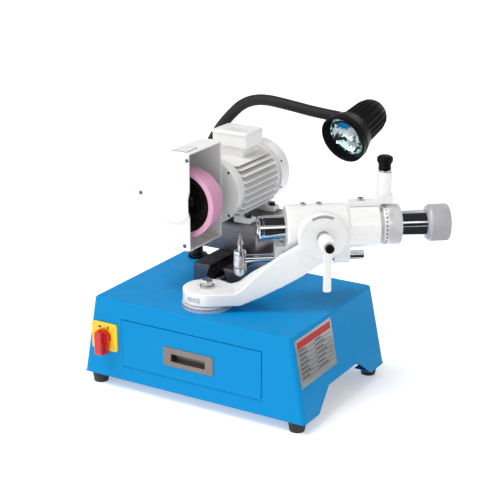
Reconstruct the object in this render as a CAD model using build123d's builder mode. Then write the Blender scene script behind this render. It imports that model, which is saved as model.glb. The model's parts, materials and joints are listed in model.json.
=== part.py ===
"""Bench drill bit sharpener: blue cabinet, motor with a cup wheel on a feed slide,
and a swivel arm that carries the spindle head, index ring, finger rest and lamp.

Millimetres. +X is to the right, +Y to the back, +Z up. The origin is on the floor,
in the middle of the four feet.
"""

import math
import os

from build123d import *

os.makedirs("parts", exist_ok=True)

# ---- driving dimensions -------------------------------------------------------
# cabinet
CABINET_BOTTOM = 20.0
CABINET_TOP = 170.0
BOTTOM_WIDTH = 455.0
TOP_WIDTH = 400.0
FRONT = -155.0
BOTTOM_BACK = 155.0
TOP_BACK = 148.0
SHEET = 2.0
FOOT_X, FOOT_Y = 204.0, 137.0
FOOT_NECK_R, FOOT_HOLE_R = 9.0, 4.25
# drawer
DRAWER_LEFT, DRAWER_RIGHT = -141.0, 144.0
DRAWER_LOW, DRAWER_HIGH = 48.0, 136.0
DRAWER_BACK = 120.0
PULL_WIDTH, PULL_HEIGHT = 102.0, 35.0
PULL_X, PULL_Z = -1.5, 88.0
# main switch
SWITCH_X, SWITCH_Z = -178.0, 98.0
SWITCH_WIDTH, SWITCH_HEIGHT = 55.0, 52.0
# swivel and arm
SWIVEL_X, SWIVEL_Y = -3.0, -90.0
ARM_ANGLE = 37.6
RING_R, RING_HEIGHT = 44.0, 10.0
ARM_BASE_R = 42.5
ARM_BASE_LOW, ARM_BASE_HIGH = 181.0, 204.0
BOLT_R = 8.0
# spindle head
SPINDLE_Z = 306.0
TILT_S = 193.0
SPINDLE_R = 22.5
HEAD_FRONT, HEAD_STEP, HEAD_BACK = 136.0, 242.5, 299.5
HEAD_R, HEAD_BACK_R = 41.0, 38.0
ARM_INNER, ARM_OUTER, BOSS_FACE = 43.0, 58.0, 61.0
BOSS_R = 43.0
STUD_R = 10.0
ROD_R, ROD_Z = 7.75, 252.0
PLUNGER_S = 309.0
PIN_R = 4.0
FIT = 0.05
# motor and wheel
MOTOR_X, MOTOR_Z = -70.0, 337.0
FLANGE_R = 60.5
FIN_R, BARREL_R = 59.0, 50.0
FEET_Z = 274.0
WHEEL_R, WHEEL_BACK_R = 62.5, 56.0
WHEEL_FRONT, WHEEL_BACK = -60.0, -18.0
SHAFT_R = 7.0
# wheel guard
GUARD_X, GUARD_Z, GUARD_R = -64.0, 345.0, 90.0
GUARD_FRONT, GUARD_BACK = -78.0, 28.0
GUARD_CUT = -45.0
# feed slide
BASE_LEFT, BASE_RIGHT = -72.0, 24.0
BASE_FRONT, BASE_BACK = -25.0, 145.0
BASE_TOP = 217.0
GROOVE_X, GROOVE_HALF = -24.0, 14.0
TABLE_LEFT, TABLE_RIGHT = -134.0, 6.0
TABLE_FRONT, TABLE_BACK = 62.0, 178.0
TABLE_TOP = 256.0
SCREW_Z, SCREW_R = 188.0, 6.0
# lamp
LAMP_RIM = (133.0, 150.0, 431.5)
LAMP_AIM = (-0.18, -0.92, -0.34)
LAMP_LENGTH = 110.0
NECK_R = 10.5
NECK_ROUTE = [
    (-158, 122, 176),
    (-158, 122, 290),
    (-153, 140, 365),
    (-140, 170, 412),
    (-124, 184, 437),
    (-93, 184, 467),
    (-52, 184, 480),
    (8, 184, 474),
    (62, 190, 465),
    (105, 196, 461),
]

# ---- frames -------------------------------------------------------------------
along = Vector(math.cos(math.radians(ARM_ANGLE)), math.sin(math.radians(ARM_ANGLE)), 0)
aside = Vector(along.Y, -along.X, 0)
swivel = Vector(SWIVEL_X, SWIVEL_Y, 0)
spindle_origin = swivel + Vector(0, 0, SPINDLE_Z)
tilt_origin = spindle_origin + along * TILT_S
motor_origin = Vector(MOTOR_X, 0, MOTOR_Z)

arm_side = Plane(origin=swivel, x_dir=along, z_dir=aside)
arm_plan = Plane(origin=swivel, x_dir=along, z_dir=(0, 0, 1))
spindle_side = Plane(origin=spindle_origin, x_dir=along, z_dir=aside)
tilt_side = Plane(origin=tilt_origin, x_dir=aside, z_dir=(0, 0, -1))
tilt_face = Plane(origin=tilt_origin, x_dir=along, z_dir=aside)
motor_side = Plane(origin=motor_origin, x_dir=(0, 1, 0), z_dir=(1, 0, 0))
guard_side = Plane(origin=(GUARD_X, 0, GUARD_Z), x_dir=(0, 1, 0), z_dir=(1, 0, 0))
spindle_axis = Axis(spindle_origin, along)
tilt_axis = Axis(tilt_origin, aside)
motor_axis = Axis(motor_origin, (0, 1, 0))
guard_axis = Axis((GUARD_X, 0, GUARD_Z), (0, 1, 0))
swivel_axis = Axis(swivel, (0, 0, 1))


def across(s, z):
    """Plane square to the spindle at distance s, centred at height z, its x to the left."""
    return Plane(origin=swivel + along * s + Vector(0, 0, z), x_dir=-aside, z_dir=along)


def facing(y, x=MOTOR_X, z=MOTOR_Z):
    """Plane that looks to the back, its normal along +Y and its x along +X."""
    return Plane(origin=(x, y, z), x_dir=(-1, 0, 0), z_dir=(0, 1, 0))


def looking_out(y, x, z):
    """Plane on the front face, its normal towards the user."""
    return Plane(origin=(x, y, z), x_dir=(1, 0, 0), z_dir=(0, -1, 0))


def turned(plane, axis, *outline):
    """A turned piece: the closed outline of (length, radius) points, revolved."""
    with BuildPart() as piece:
        with BuildSketch(plane):
            with BuildLine():
                Polyline(*outline, close=True)
            make_face()
        revolve(axis=axis)
    return piece.part


def save(piece, node):
    """Label a finished piece and write it as its own node."""
    piece.label = node
    export_step(piece, f"parts/{node}.step")


def width_at(z):
    """Outer width of the cabinet at height z."""
    share = (z - CABINET_BOTTOM) / (CABINET_TOP - CABINET_BOTTOM)
    return BOTTOM_WIDTH + (TOP_WIDTH - BOTTOM_WIDTH) * share


def back_at(z):
    """Y of the cabinet's back face at height z."""
    share = (z - CABINET_BOTTOM) / (CABINET_TOP - CABINET_BOTTOM)
    return BOTTOM_BACK + (TOP_BACK - BOTTOM_BACK) * share


# ---- cabinet ------------------------------------------------------------------
def cabinet_block(low, high, wall):
    """The tapering body of the cabinet between two heights, inset by a wall."""
    with BuildPart() as block:
        for z in (low, high):
            middle = (FRONT + back_at(z)) / 2
            with BuildSketch(Plane((0, middle, z))):
                RectangleRounded(width_at(z) - 2 * wall, back_at(z) - FRONT - 2 * wall, 8 - wall)
        loft()
    return block.part


DEPTH_AT_FLOOR = BOTTOM_BACK - FRONT
FLANGE_WIDTH = 34.0
NOTCH_LOW, NOTCH_HIGH, NOTCH_Z = 103.0, 55.0, 55.0
SWITCH_CUTOUT = 42.0
BOSS_R_TOP, BOSS_DEPTH = 16.0, 18.0
LAMP_STEM_R = 6.0
DRAWER_WIDTH, DRAWER_HEIGHT = DRAWER_RIGHT - DRAWER_LEFT, DRAWER_HIGH - DRAWER_LOW
DRAWER_X, DRAWER_Z = (DRAWER_LEFT + DRAWER_RIGHT) / 2, (DRAWER_LOW + DRAWER_HIGH) / 2
GLAND_X, GLAND_Z, GLAND_R = 176.0, 70.0, 8.0
cabinet_outside = cabinet_block(CABINET_BOTTOM, CABINET_TOP, 0)
cabinet_inside = cabinet_block(CABINET_BOTTOM - 1, CABINET_TOP - SHEET, SHEET)
with BuildPart() as cabinet_shell:
    add(cabinet_outside)
    fillet(cabinet_shell.faces().sort_by(Axis.Z)[-1].edges(), 5)
    add(cabinet_inside, mode=Mode.SUBTRACT)
    # inward bottom flange that the feet are bolted to
    with BuildSketch(Plane.XY.offset(CABINET_BOTTOM)):
        Rectangle(BOTTOM_WIDTH - 3, DEPTH_AT_FLOOR - 3)
        Rectangle(
            BOTTOM_WIDTH - 2 * FLANGE_WIDTH,
            DEPTH_AT_FLOOR - 2 * FLANGE_WIDTH,
            mode=Mode.SUBTRACT,
        )
    extrude(amount=SHEET)
    # lifting notches in the lower edge of both sides
    with BuildSketch(Plane.YZ.offset(-BOTTOM_WIDTH)):
        with BuildLine():
            Polyline(
                (-NOTCH_LOW, CABINET_BOTTOM - 1),
                (-NOTCH_HIGH, NOTCH_Z),
                (NOTCH_HIGH, NOTCH_Z),
                (NOTCH_LOW, CABINET_BOTTOM - 1),
                close=True,
            )
        make_face()
    extrude(amount=2 * BOTTOM_WIDTH, mode=Mode.SUBTRACT)
    # drawer opening
    with BuildSketch(looking_out(FRONT + 10, DRAWER_X, DRAWER_Z)):
        Rectangle(DRAWER_WIDTH + 2, DRAWER_HEIGHT + 2)
    extrude(amount=20, mode=Mode.SUBTRACT)
    # switch opening
    with BuildSketch(looking_out(FRONT + 10, SWITCH_X, SWITCH_Z)):
        Rectangle(SWITCH_CUTOUT, SWITCH_CUTOUT)
    extrude(amount=20, mode=Mode.SUBTRACT)
    # welded boss under the top for the swivel bolt
    with BuildSketch(Plane(swivel + Vector(0, 0, CABINET_TOP - BOSS_DEPTH))):
        Circle(BOSS_R_TOP)
    extrude(amount=BOSS_DEPTH - 1)
    # holes for the feet, the swivel bolt, the lamp stem and the mains gland
    with BuildSketch(Plane.XY.offset(CABINET_BOTTOM - 1)):
        with GridLocations(2 * FOOT_X, 2 * FOOT_Y, 2, 2):
            Circle(FOOT_NECK_R)
    extrude(amount=6, mode=Mode.SUBTRACT)
    with BuildSketch(Plane.XY.offset(CABINET_TOP - BOSS_DEPTH - 1)):
        with Locations((SWIVEL_X, SWIVEL_Y)):
            Circle(BOLT_R)
    extrude(amount=BOSS_DEPTH + 5, mode=Mode.SUBTRACT)
    with BuildSketch(Plane.XY.offset(CABINET_TOP - 5)):
        with Locations(NECK_ROUTE[0][:2]):
            Circle(LAMP_STEM_R)
    extrude(amount=10, mode=Mode.SUBTRACT)
    with BuildSketch(facing(TOP_BACK - 10, GLAND_X, GLAND_Z)):
        Circle(GLAND_R)
    extrude(amount=30, mode=Mode.SUBTRACT)
save(cabinet_shell.part, "cabinet_shell")

# push-in feet with a neck through the flange and a hole for a bench bolt
with BuildPart() as rubber_feet:
    with GridLocations(2 * FOOT_X, 2 * FOOT_Y, 2, 2):
        Cone(13, 16.5, CABINET_BOTTOM, align=(Align.CENTER, Align.CENTER, Align.MIN))
    with BuildSketch(Plane.XY.offset(CABINET_BOTTOM - 1)):
        with GridLocations(2 * FOOT_X, 2 * FOOT_Y, 2, 2):
            Circle(FOOT_NECK_R)
    extrude(amount=1 + SHEET)
    with BuildSketch(Plane.XY.offset(CABINET_BOTTOM + SHEET)):
        with GridLocations(2 * FOOT_X, 2 * FOOT_Y, 2, 2):
            Circle(FOOT_NECK_R + 2)
    extrude(amount=4)
    with BuildSketch(Plane.XY.offset(-1)):
        with GridLocations(2 * FOOT_X, 2 * FOOT_Y, 2, 2):
            Circle(FOOT_HOLE_R)
    extrude(amount=CABINET_BOTTOM + 20, mode=Mode.SUBTRACT)
save(rubber_feet.part, "rubber_feet")

# ---- drawer -------------------------------------------------------------------
TRAY_LEFT, TRAY_RIGHT = DRAWER_LEFT + 5, DRAWER_RIGHT - 5
TRAY_LOW, TRAY_HIGH = DRAWER_LOW + 4, DRAWER_HIGH - 6
TRAY_WALL = 1.5
FRONT_THICK = 3.0
TRAY_FRONT = FRONT - 1 + FRONT_THICK
with BuildPart() as drawer_tray:
    with BuildSketch(Plane.XY.offset(TRAY_LOW)):
        with Locations(((TRAY_LEFT + TRAY_RIGHT) / 2, (TRAY_FRONT + DRAWER_BACK) / 2)):
            Rectangle(TRAY_RIGHT - TRAY_LEFT, DRAWER_BACK - TRAY_FRONT)
    extrude(amount=TRAY_HIGH - TRAY_LOW)
    with BuildSketch(Plane.XY.offset(TRAY_LOW + TRAY_WALL)):
        with Locations(((TRAY_LEFT + TRAY_RIGHT) / 2, (TRAY_FRONT + DRAWER_BACK - TRAY_WALL) / 2 - 5)):
            Rectangle(TRAY_RIGHT - TRAY_LEFT - 2 * TRAY_WALL, DRAWER_BACK - TRAY_FRONT - TRAY_WALL + 10)
    extrude(amount=TRAY_HIGH, mode=Mode.SUBTRACT)
save(drawer_tray.part, "drawer_tray")

with BuildPart() as drawer_front:
    with BuildSketch(looking_out(TRAY_FRONT, DRAWER_X, DRAWER_Z)):
        RectangleRounded(DRAWER_WIDTH, DRAWER_HEIGHT, 1.5)
    extrude(amount=FRONT_THICK)
    with BuildSketch(looking_out(TRAY_FRONT + 1, PULL_X, PULL_Z)):
        Rectangle(PULL_WIDTH - 8, PULL_HEIGHT - 8)
    extrude(amount=10, mode=Mode.SUBTRACT)
save(drawer_front.part, "drawer_front")

PULL_FACE = TRAY_FRONT - FRONT_THICK
with BuildPart() as drawer_pull:
    with BuildSketch(looking_out(PULL_FACE, PULL_X, PULL_Z)):
        RectangleRounded(PULL_WIDTH, PULL_HEIGHT, 2)
    extrude(amount=1.2)
    with BuildSketch(looking_out(PULL_FACE, PULL_X, PULL_Z)):
        Rectangle(PULL_WIDTH - 8.6, PULL_HEIGHT - 8.6)
    extrude(amount=-14)
    with BuildSketch(looking_out(PULL_FACE - 2, PULL_X, PULL_Z - 1)):
        RectangleRounded(70, 15, 3)
    extrude(amount=-14.5, mode=Mode.SUBTRACT)
    with BuildSketch(looking_out(PULL_FACE + 8, PULL_X, PULL_Z + 1)):
        Rectangle(76, 21)
    extrude(amount=-4.5, mode=Mode.SUBTRACT)
save(drawer_pull.part, "drawer_pull")

RUNNER_REACH = back_at(80) - SHEET - 0.3
with BuildPart() as drawer_runners:
    for side, web in ((-1, TRAY_LEFT - 1), (1, TRAY_RIGHT + 1)):
        low = TRAY_LOW - 3
        with BuildSketch(looking_out(RUNNER_REACH, web, low)):
            with BuildLine():
                Polyline(
                    (side * 10, 0),
                    (side * -9, 0),
                    (side * -9, 2.4),
                    (0, 2.4),
                    (0, 26),
                    (side * 2.4, 26),
                    (side * 2.4, 2.4),
                    (side * 10, 2.4),
                    close=True,
                )
            make_face()
        extrude(amount=RUNNER_REACH - FRONT - SHEET)
save(drawer_runners.part, "drawer_runners")

# ---- main switch, nameplate, gland --------------------------------------------
with BuildPart() as switch_plate:
    with BuildSketch(looking_out(FRONT, SWITCH_X, SWITCH_Z)):
        RectangleRounded(SWITCH_WIDTH, SWITCH_HEIGHT, 5)
    extrude(amount=4)
    fillet(switch_plate.faces().sort_by(Axis.Y)[0].edges(), 1.5)
    with BuildSketch(looking_out(FRONT + 1, SWITCH_X, SWITCH_Z)):
        Circle(4 + FIT)
    extrude(amount=8, mode=Mode.SUBTRACT)
save(switch_plate.part, "switch_plate")

SWITCH_DEPTH = 48.0
with BuildPart() as switch_body:
    with BuildSketch(looking_out(FRONT, SWITCH_X, SWITCH_Z)):
        RectangleRounded(SWITCH_CUTOUT - 1, SWITCH_CUTOUT - 1, 3)
    extrude(amount=-SWITCH_DEPTH)
    with BuildSketch(looking_out(FRONT + 22, SWITCH_X, SWITCH_Z)):
        Circle(4 + FIT)
    extrude(amount=30, mode=Mode.SUBTRACT)
save(switch_body.part, "switch_body")

KNOB_FRONT = 25.0
with BuildPart() as switch_knob:
    with BuildSketch(looking_out(FRONT - 4.5, SWITCH_X, SWITCH_Z)):
        Circle(15.5)
        with BuildLine():
            Polyline((-15, 3), (-9, -30), (9, -30), (15, 3), close=True)
        make_face()
    extrude(amount=9)
    with BuildSketch(looking_out(FRONT - 13, SWITCH_X, SWITCH_Z)):
        with BuildLine():
            Polyline((-7, 13), (-8, -29), (8, -29), (7, 13), close=True)
        make_face()
    extrude(amount=KNOB_FRONT - 13)
    fillet(switch_knob.faces().sort_by(Axis.Y)[0].edges(), 2.5)
    with BuildSketch(looking_out(FRONT + 20, SWITCH_X, SWITCH_Z)):
        Circle(4)
    extrude(amount=28)
save(switch_knob.part, "switch_knob")

lean = math.atan((BOTTOM_WIDTH - TOP_WIDTH) / 2 / (CABINET_TOP - CABINET_BOTTOM))
PLATE_Z, PLATE_Y = 122.0, -82.0
plate_face = Plane(
    origin=(width_at(PLATE_Z) / 2, PLATE_Y, PLATE_Z),
    x_dir=(0, 1, 0),
    z_dir=(math.cos(lean), 0, math.sin(lean)),
)
PLATE_LENGTH, PLATE_HEIGHT = 128.0, 84.0
with BuildPart() as nameplate:
    with BuildSketch(plate_face):
        RectangleRounded(PLATE_LENGTH, PLATE_HEIGHT, 2)
    extrude(amount=0.8)
save(nameplate.part, "nameplate")

gland_back = back_at(GLAND_Z)
with BuildPart() as mains_gland:
    with BuildSketch(facing(gland_back + 0.9, GLAND_X, GLAND_Z)):
        RegularPolygon(12, 6)
    extrude(amount=7)
    with BuildSketch(facing(gland_back - 14, GLAND_X, GLAND_Z)):
        Circle(GLAND_R)
    extrude(amount=34)
    with BuildSketch(facing(gland_back - 16, GLAND_X, GLAND_Z)):
        Circle(4)
    extrude(amount=60, mode=Mode.SUBTRACT)
save(mains_gland.part, "mains_gland")

# ---- swivel -------------------------------------------------------------------
save(
    turned(
        arm_side,
        swivel_axis,
        (BOLT_R, CABINET_TOP),
        (RING_R, CABINET_TOP),
        (RING_R, CABINET_TOP + 8),
        (RING_R - 3, CABINET_TOP + 8),
        (RING_R - 3, CABINET_TOP + RING_HEIGHT),
        (BOLT_R, CABINET_TOP + RING_HEIGHT),
    ),
    "swivel_scale_ring",
)

with BuildPart() as swivel_bolt:
    with BuildSketch(Plane(swivel + Vector(0, 0, CABINET_TOP - BOSS_DEPTH))):
        Circle(BOLT_R)
    extrude(amount=ARM_BASE_HIGH - CABINET_TOP + BOSS_DEPTH + 1)
    with BuildSketch(Plane(swivel + Vector(0, 0, ARM_BASE_HIGH + 0.3))):
        Circle(13)
    extrude(amount=3)
    with BuildSketch(Plane(swivel + Vector(0, 0, ARM_BASE_HIGH + 3.3))):
        RegularPolygon(11, 6)
    extrude(amount=10)
    chamfer(swivel_bolt.faces().sort_by(Axis.Z)[-1].edges(), 1)
save(swivel_bolt.part, "swivel_bolt")

# ---- swivel arm ---------------------------------------------------------------
with BuildPart() as swivel_arm:
    # side view of the casting
    with BuildSketch(arm_side.offset(-ARM_BASE_R)):
        with BuildLine():
            Polyline(
                (0, ARM_BASE_LOW),
                (52, ARM_BASE_LOW),
                (88, 197),
                (122, 215),
                (158, 236),
                (TILT_S + 8, SPINDLE_Z - BOSS_R + 0.7),
                (TILT_S - 20, SPINDLE_Z),
                (TILT_S - 38, SPINDLE_Z - 15),
                (121, 273),
                (90, 246),
                (73, 230),
                (56, 211),
                (44, ARM_BASE_HIGH),
                (0, ARM_BASE_HIGH),
                close=True,
            )
        make_face()
    extrude(amount=ARM_BASE_R + ARM_OUTER)
    # plan view of the casting
    with BuildSketch(arm_plan):
        with BuildLine():
            Polyline(
                (-1, ARM_BASE_R - 2),
                (20, 34),
                (45, 12),
                (78, -16),
                (98, -34),
                (113, -ARM_INNER),
                (TILT_S + BOSS_R, -ARM_INNER),
                (TILT_S + BOSS_R, -ARM_OUTER),
                (150, -ARM_OUTER),
                (100, -50),
                (50, -43.5),
                (-1, -ARM_BASE_R),
                close=True,
            )
        make_face()
    extrude(amount=SPINDLE_Z + BOSS_R, mode=Mode.INTERSECT)
    with BuildSketch(arm_plan.offset(ARM_BASE_LOW)):
        Circle(ARM_BASE_R)
    extrude(amount=ARM_BASE_HIGH - ARM_BASE_LOW)
    with BuildSketch(tilt_face.offset(ARM_INNER)):
        Circle(BOSS_R)
    extrude(amount=ARM_OUTER - ARM_INNER)
    with BuildSketch(tilt_face.offset(ARM_OUTER)):
        Circle(BOSS_R - 2)
    extrude(amount=BOSS_FACE - ARM_OUTER)
    # bores for the swivel bolt and the tilt stud
    with BuildSketch(arm_plan.offset(ARM_BASE_LOW - 1)):
        Circle(BOLT_R + FIT)
    extrude(amount=60, mode=Mode.SUBTRACT)
    with BuildSketch(tilt_face.offset(ARM_INNER - 5)):
        Circle(STUD_R + FIT)
    extrude(amount=40, mode=Mode.SUBTRACT)
save(swivel_arm.part, "swivel_arm")

# ---- spindle head -------------------------------------------------------------
LUG_HALF = 13.0
CLAMP_S = 134.0
PAD_Z = SPINDLE_Z + HEAD_BACK_R - 1
BRACKET_SCREW_S = 268.0
with BuildPart() as spindle_head:
    with BuildSketch(spindle_side):
        with BuildLine():
            Polyline(
                (HEAD_FRONT, 0),
                (HEAD_FRONT, HEAD_R - 3),
                (HEAD_FRONT + 3, HEAD_R),
                (HEAD_STEP, HEAD_R),
                (HEAD_STEP, HEAD_BACK_R),
                (HEAD_BACK - 2, HEAD_BACK_R),
                (HEAD_BACK, HEAD_BACK_R - 2),
                (HEAD_BACK, 0),
                close=True,
            )
        make_face()
    revolve(axis=spindle_axis)
    # trunnion boss towards the arm
    with BuildSketch(tilt_face):
        Circle(32)
    extrude(amount=ARM_INNER - 0.3)
    # lugs that hold the finger rod
    for low, high in ((118, 150), (222, 250)):
        with BuildSketch(across(low, ROD_Z)):
            with Locations((0, 12)):
                Rectangle(2 * LUG_HALF, 24)
            Circle(LUG_HALF)
        extrude(amount=high - low)
    with BuildSketch(across(118, ROD_Z + 12)):
        Rectangle(2 * LUG_HALF, 20)
    extrude(amount=30)
    # flat pad for the index bracket
    with BuildSketch(across(HEAD_STEP + 1, PAD_Z + 10)):
        Rectangle(40, 20)
    extrude(amount=HEAD_BACK - HEAD_STEP, mode=Mode.SUBTRACT)
    with BuildSketch(across(100, SPINDLE_Z)):
        Circle(SPINDLE_R + FIT)
    extrude(amount=HEAD_BACK, mode=Mode.SUBTRACT)
    with BuildSketch(arm_plan.offset(PAD_Z - 8)):
        with Locations((BRACKET_SCREW_S, 0)):
            Circle(3.2)
    extrude(amount=20, mode=Mode.SUBTRACT)
    with BuildSketch(across(100, ROD_Z)):
        Circle(ROD_R + FIT)
    extrude(amount=200, mode=Mode.SUBTRACT)
    with BuildSketch(tilt_face.offset(SPINDLE_R + 6)):
        Circle(STUD_R)
    extrude(amount=40, mode=Mode.SUBTRACT)
save(spindle_head.part, "spindle_head")

BRACKET_TOP = PAD_Z + 8
NOSE_TOP = PAD_Z + 18
with BuildPart() as index_bracket:
    with BuildSketch(arm_side.offset(-12)):
        with BuildLine():
            Polyline(
                (HEAD_STEP + 4, PAD_Z),
                (HEAD_BACK - 0.5, PAD_Z),
                (HEAD_BACK + 3, PAD_Z + 3),
                (PLUNGER_S + 14, PAD_Z + 3),
                (PLUNGER_S + 14, NOSE_TOP),
                (PLUNGER_S - 14, NOSE_TOP),
                (PLUNGER_S - 18, BRACKET_TOP),
                (HEAD_STEP + 4, BRACKET_TOP),
                close=True,
            )
        make_face()
    extrude(amount=24)
    with BuildSketch(arm_plan.offset(PAD_Z - 1)):
        with Locations((PLUNGER_S, 0)):
            Circle(PIN_R + FIT)
    extrude(amount=40, mode=Mode.SUBTRACT)
    with BuildSketch(arm_plan.offset(PAD_Z - 1)):
        with Locations((BRACKET_SCREW_S, 0)):
            Circle(3.2)
    extrude(amount=40, mode=Mode.SUBTRACT)
save(index_bracket.part, "index_bracket")

with BuildPart() as head_screws:
    with BuildSketch(arm_plan.offset(PAD_Z - 8)):
        with Locations((BRACKET_SCREW_S, 0)):
            Circle(3.2)
    extrude(amount=8 + BRACKET_TOP - PAD_Z)
    with BuildSketch(arm_plan.offset(BRACKET_TOP)):
        with Locations((BRACKET_SCREW_S, 0)):
            Circle(5.5)
            Circle(2.5, mode=Mode.SUBTRACT)
    extrude(amount=5)
    for s in (167, 195):
        with BuildSketch(arm_plan.offset(SPINDLE_Z + HEAD_R + 0.1)):
            with Locations((s, 0)):
                Circle(5)
                RegularPolygon(2.5, 6, mode=Mode.SUBTRACT)
        extrude(amount=3)
    # clamp screw of the finger rod
    with BuildSketch(arm_side.offset(LUG_HALF)):
        with Locations((CLAMP_S, ROD_Z + 12)):
            Circle(5.5)
            Circle(2.4, mode=Mode.SUBTRACT)
    extrude(amount=9)
save(head_screws.part, "head_screws")

HOUSING_TOP = 402.0
SPRING_ROOM = 29.0
with BuildPart() as plunger_housing:
    with BuildSketch(arm_plan.offset(NOSE_TOP)):
        with Locations((PLUNGER_S, 0)):
            Circle(13.5)
    extrude(amount=HOUSING_TOP - NOSE_TOP)
    fillet(plunger_housing.faces().sort_by(Axis.Z)[-1].edges(), 3)
    with BuildSketch(arm_plan.offset(NOSE_TOP - 1)):
        with Locations((PLUNGER_S, 0)):
            Circle(9)
    extrude(amount=1 + SPRING_ROOM, mode=Mode.SUBTRACT)
    with BuildSketch(arm_plan.offset(NOSE_TOP - 1)):
        with Locations((PLUNGER_S, 0)):
            Circle(PIN_R + FIT)
    extrude(amount=60, mode=Mode.SUBTRACT)
save(plunger_housing.part, "plunger_housing")

COLLAR_Z, COLLAR_THICK = NOSE_TOP + 2, 3.0
save(
    turned(
        Plane(origin=swivel + along * PLUNGER_S, x_dir=along, z_dir=aside),
        Axis(swivel + along * PLUNGER_S, (0, 0, 1)),
        (0, SPINDLE_Z + 36.2),
        (2, SPINDLE_Z + 36.2),
        (PIN_R, SPINDLE_Z + 38.5),
        (PIN_R, COLLAR_Z),
        (8.6, COLLAR_Z),
        (8.6, COLLAR_Z + COLLAR_THICK),
        (PIN_R, COLLAR_Z + COLLAR_THICK),
        (PIN_R, HOUSING_TOP + 0.5),
        (11.5, HOUSING_TOP + 0.5),
        (11.5, HOUSING_TOP + 14),
        (14, HOUSING_TOP + 17),
        (14, HOUSING_TOP + 24),
        (11, HOUSING_TOP + 28),
        (0, HOUSING_TOP + 28),
    ),
    "index_plunger",
)

# the spring at its compressed length, over the lifted collar
PLUNGER_LIFT = 8.0
SPRING_LOW = COLLAR_Z + COLLAR_THICK + PLUNGER_LIFT + 0.2
with BuildPart() as plunger_spring:
    with BuildSketch(arm_plan.offset(SPRING_LOW)):
        with Locations((PLUNGER_S, 0)):
            Circle(8)
            Circle(6.4, mode=Mode.SUBTRACT)
    extrude(amount=NOSE_TOP + SPRING_ROOM - 0.2 - SPRING_LOW)
save(plunger_spring.part, "plunger_spring")

save(
    turned(
        tilt_side,
        tilt_axis,
        (SPINDLE_R + 6, 0),
        (SPINDLE_R + 6, STUD_R),
        (74.5, STUD_R),
        (74.5, 6),
        (118, 6),
        (118, 0),
    ),
    "tilt_stud",
)

# ---- clamp lever --------------------------------------------------------------
HUB_IN, HUB_OUT = 75.0, 117.0
LEVER_REACH = 95.0
with BuildPart() as clamp_lever:
    with BuildSketch(tilt_side):
        with BuildLine():
            Polyline(
                (HUB_IN, 6 + FIT),
                (HUB_IN, 11),
                (HUB_IN + 8, 14),
                (HUB_OUT - 4, 14),
                (HUB_OUT, 11),
                (HUB_OUT, 6 + FIT),
                close=True,
            )
        make_face()
    revolve(axis=tilt_axis)
    handle_top = tilt_origin + aside * (HUB_OUT - 14) + Vector(0, 0, -12)
    with BuildSketch(Plane(origin=handle_top, z_dir=(0, 0, -1))):
        Circle(6.5)
    with BuildSketch(Plane(origin=handle_top + Vector(0, 0, 24 - LEVER_REACH), z_dir=(0, 0, -1))):
        Circle(4.5)
    loft()
    fillet(clamp_lever.faces().sort_by(Axis.Z)[0].edges(), 3.5)
save(clamp_lever.part, "clamp_lever")

with BuildPart() as lever_cap_screw:
    with BuildSketch(tilt_face.offset(118.2)):
        Circle(7.5)
    extrude(amount=6)
    with BuildSketch(tilt_face.offset(121)):
        RegularPolygon(3.5, 6)
    extrude(amount=6, mode=Mode.SUBTRACT)
save(lever_cap_screw.part, "lever_cap_screw")

# ---- spindle, index ring and drawbar --------------------------------------------
save(
    turned(
        spindle_side,
        spindle_axis,
        (89, 14),
        (89, SPINDLE_R - 1.5),
        (90.5, SPINDLE_R),
        (95, SPINDLE_R),
        (95, SPINDLE_R - 2),
        (97.5, SPINDLE_R - 2),
        (97.5, SPINDLE_R),
        (384.5, SPINDLE_R),
        (384.5, 14),
    ),
    "spindle_sleeve",
)

COLLET_BORE = 6.0
with BuildPart() as nose_collet:
    with BuildSketch(spindle_side):
        with BuildLine():
            Polyline(
                (86, COLLET_BORE),
                (86, 12),
                (88, 13.95),
                (130, 13.95),
                (130, COLLET_BORE),
                close=True,
            )
        make_face()
    revolve(axis=spindle_axis)
    with BuildSketch(across(85, SPINDLE_Z)):
        with PolarLocations(COLLET_BORE + 4, 3, start_angle=90):
            Rectangle(9, 1)
    extrude(amount=25, mode=Mode.SUBTRACT)
save(nose_collet.part, "nose_collet")

with BuildPart() as index_ring:
    with BuildSketch(spindle_side):
        with BuildLine():
            Polyline(
                (HEAD_BACK + 0.4, SPINDLE_R + FIT),
                (HEAD_BACK + 0.4, 28),
                (305, 28),
                (305, 34.5),
                (306, 35.5),
                (336, 35.5),
                (337, 34.5),
                (337, SPINDLE_R + FIT),
                close=True,
            )
        make_face()
    revolve(axis=spindle_axis)
    with BuildSketch(across(305, SPINDLE_Z)):
        with PolarLocations(35.8, 60):
            Circle(0.7)
    extrude(amount=9, mode=Mode.SUBTRACT)
save(index_ring.part, "index_ring")

with BuildPart() as drawbar_knob:
    with BuildSketch(across(385, SPINDLE_Z)):
        Circle(32.7)
    extrude(amount=39.5)
    fillet(drawbar_knob.edges().filter_by(GeomType.CIRCLE), 2)
    with BuildSketch(across(385, SPINDLE_Z)):
        with PolarLocations(33.4, 72):
            Circle(0.95)
    extrude(amount=39.5, mode=Mode.SUBTRACT)
    with BuildSketch(across(140, SPINDLE_Z)):
        Circle(8)
    extrude(amount=250)
save(drawbar_knob.part, "drawbar_knob")

# ---- finger rest ----------------------------------------------------------------
FINGER_S = 58.0
FINGER_TIP = 299.5
with BuildPart() as finger_rod:
    with BuildSketch(across(FINGER_S - 9, ROD_Z)):
        Circle(ROD_R)
    extrude(amount=276 - FINGER_S + 9)
    chamfer(finger_rod.edges().group_by(SortBy.LENGTH)[0], 0.5)
    with BuildSketch(arm_plan.offset(ROD_Z - 12)):
        with Locations((FINGER_S, 0)):
            Circle(3 + FIT)
    extrude(amount=24, mode=Mode.SUBTRACT)
save(finger_rod.part, "finger_rod")

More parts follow.
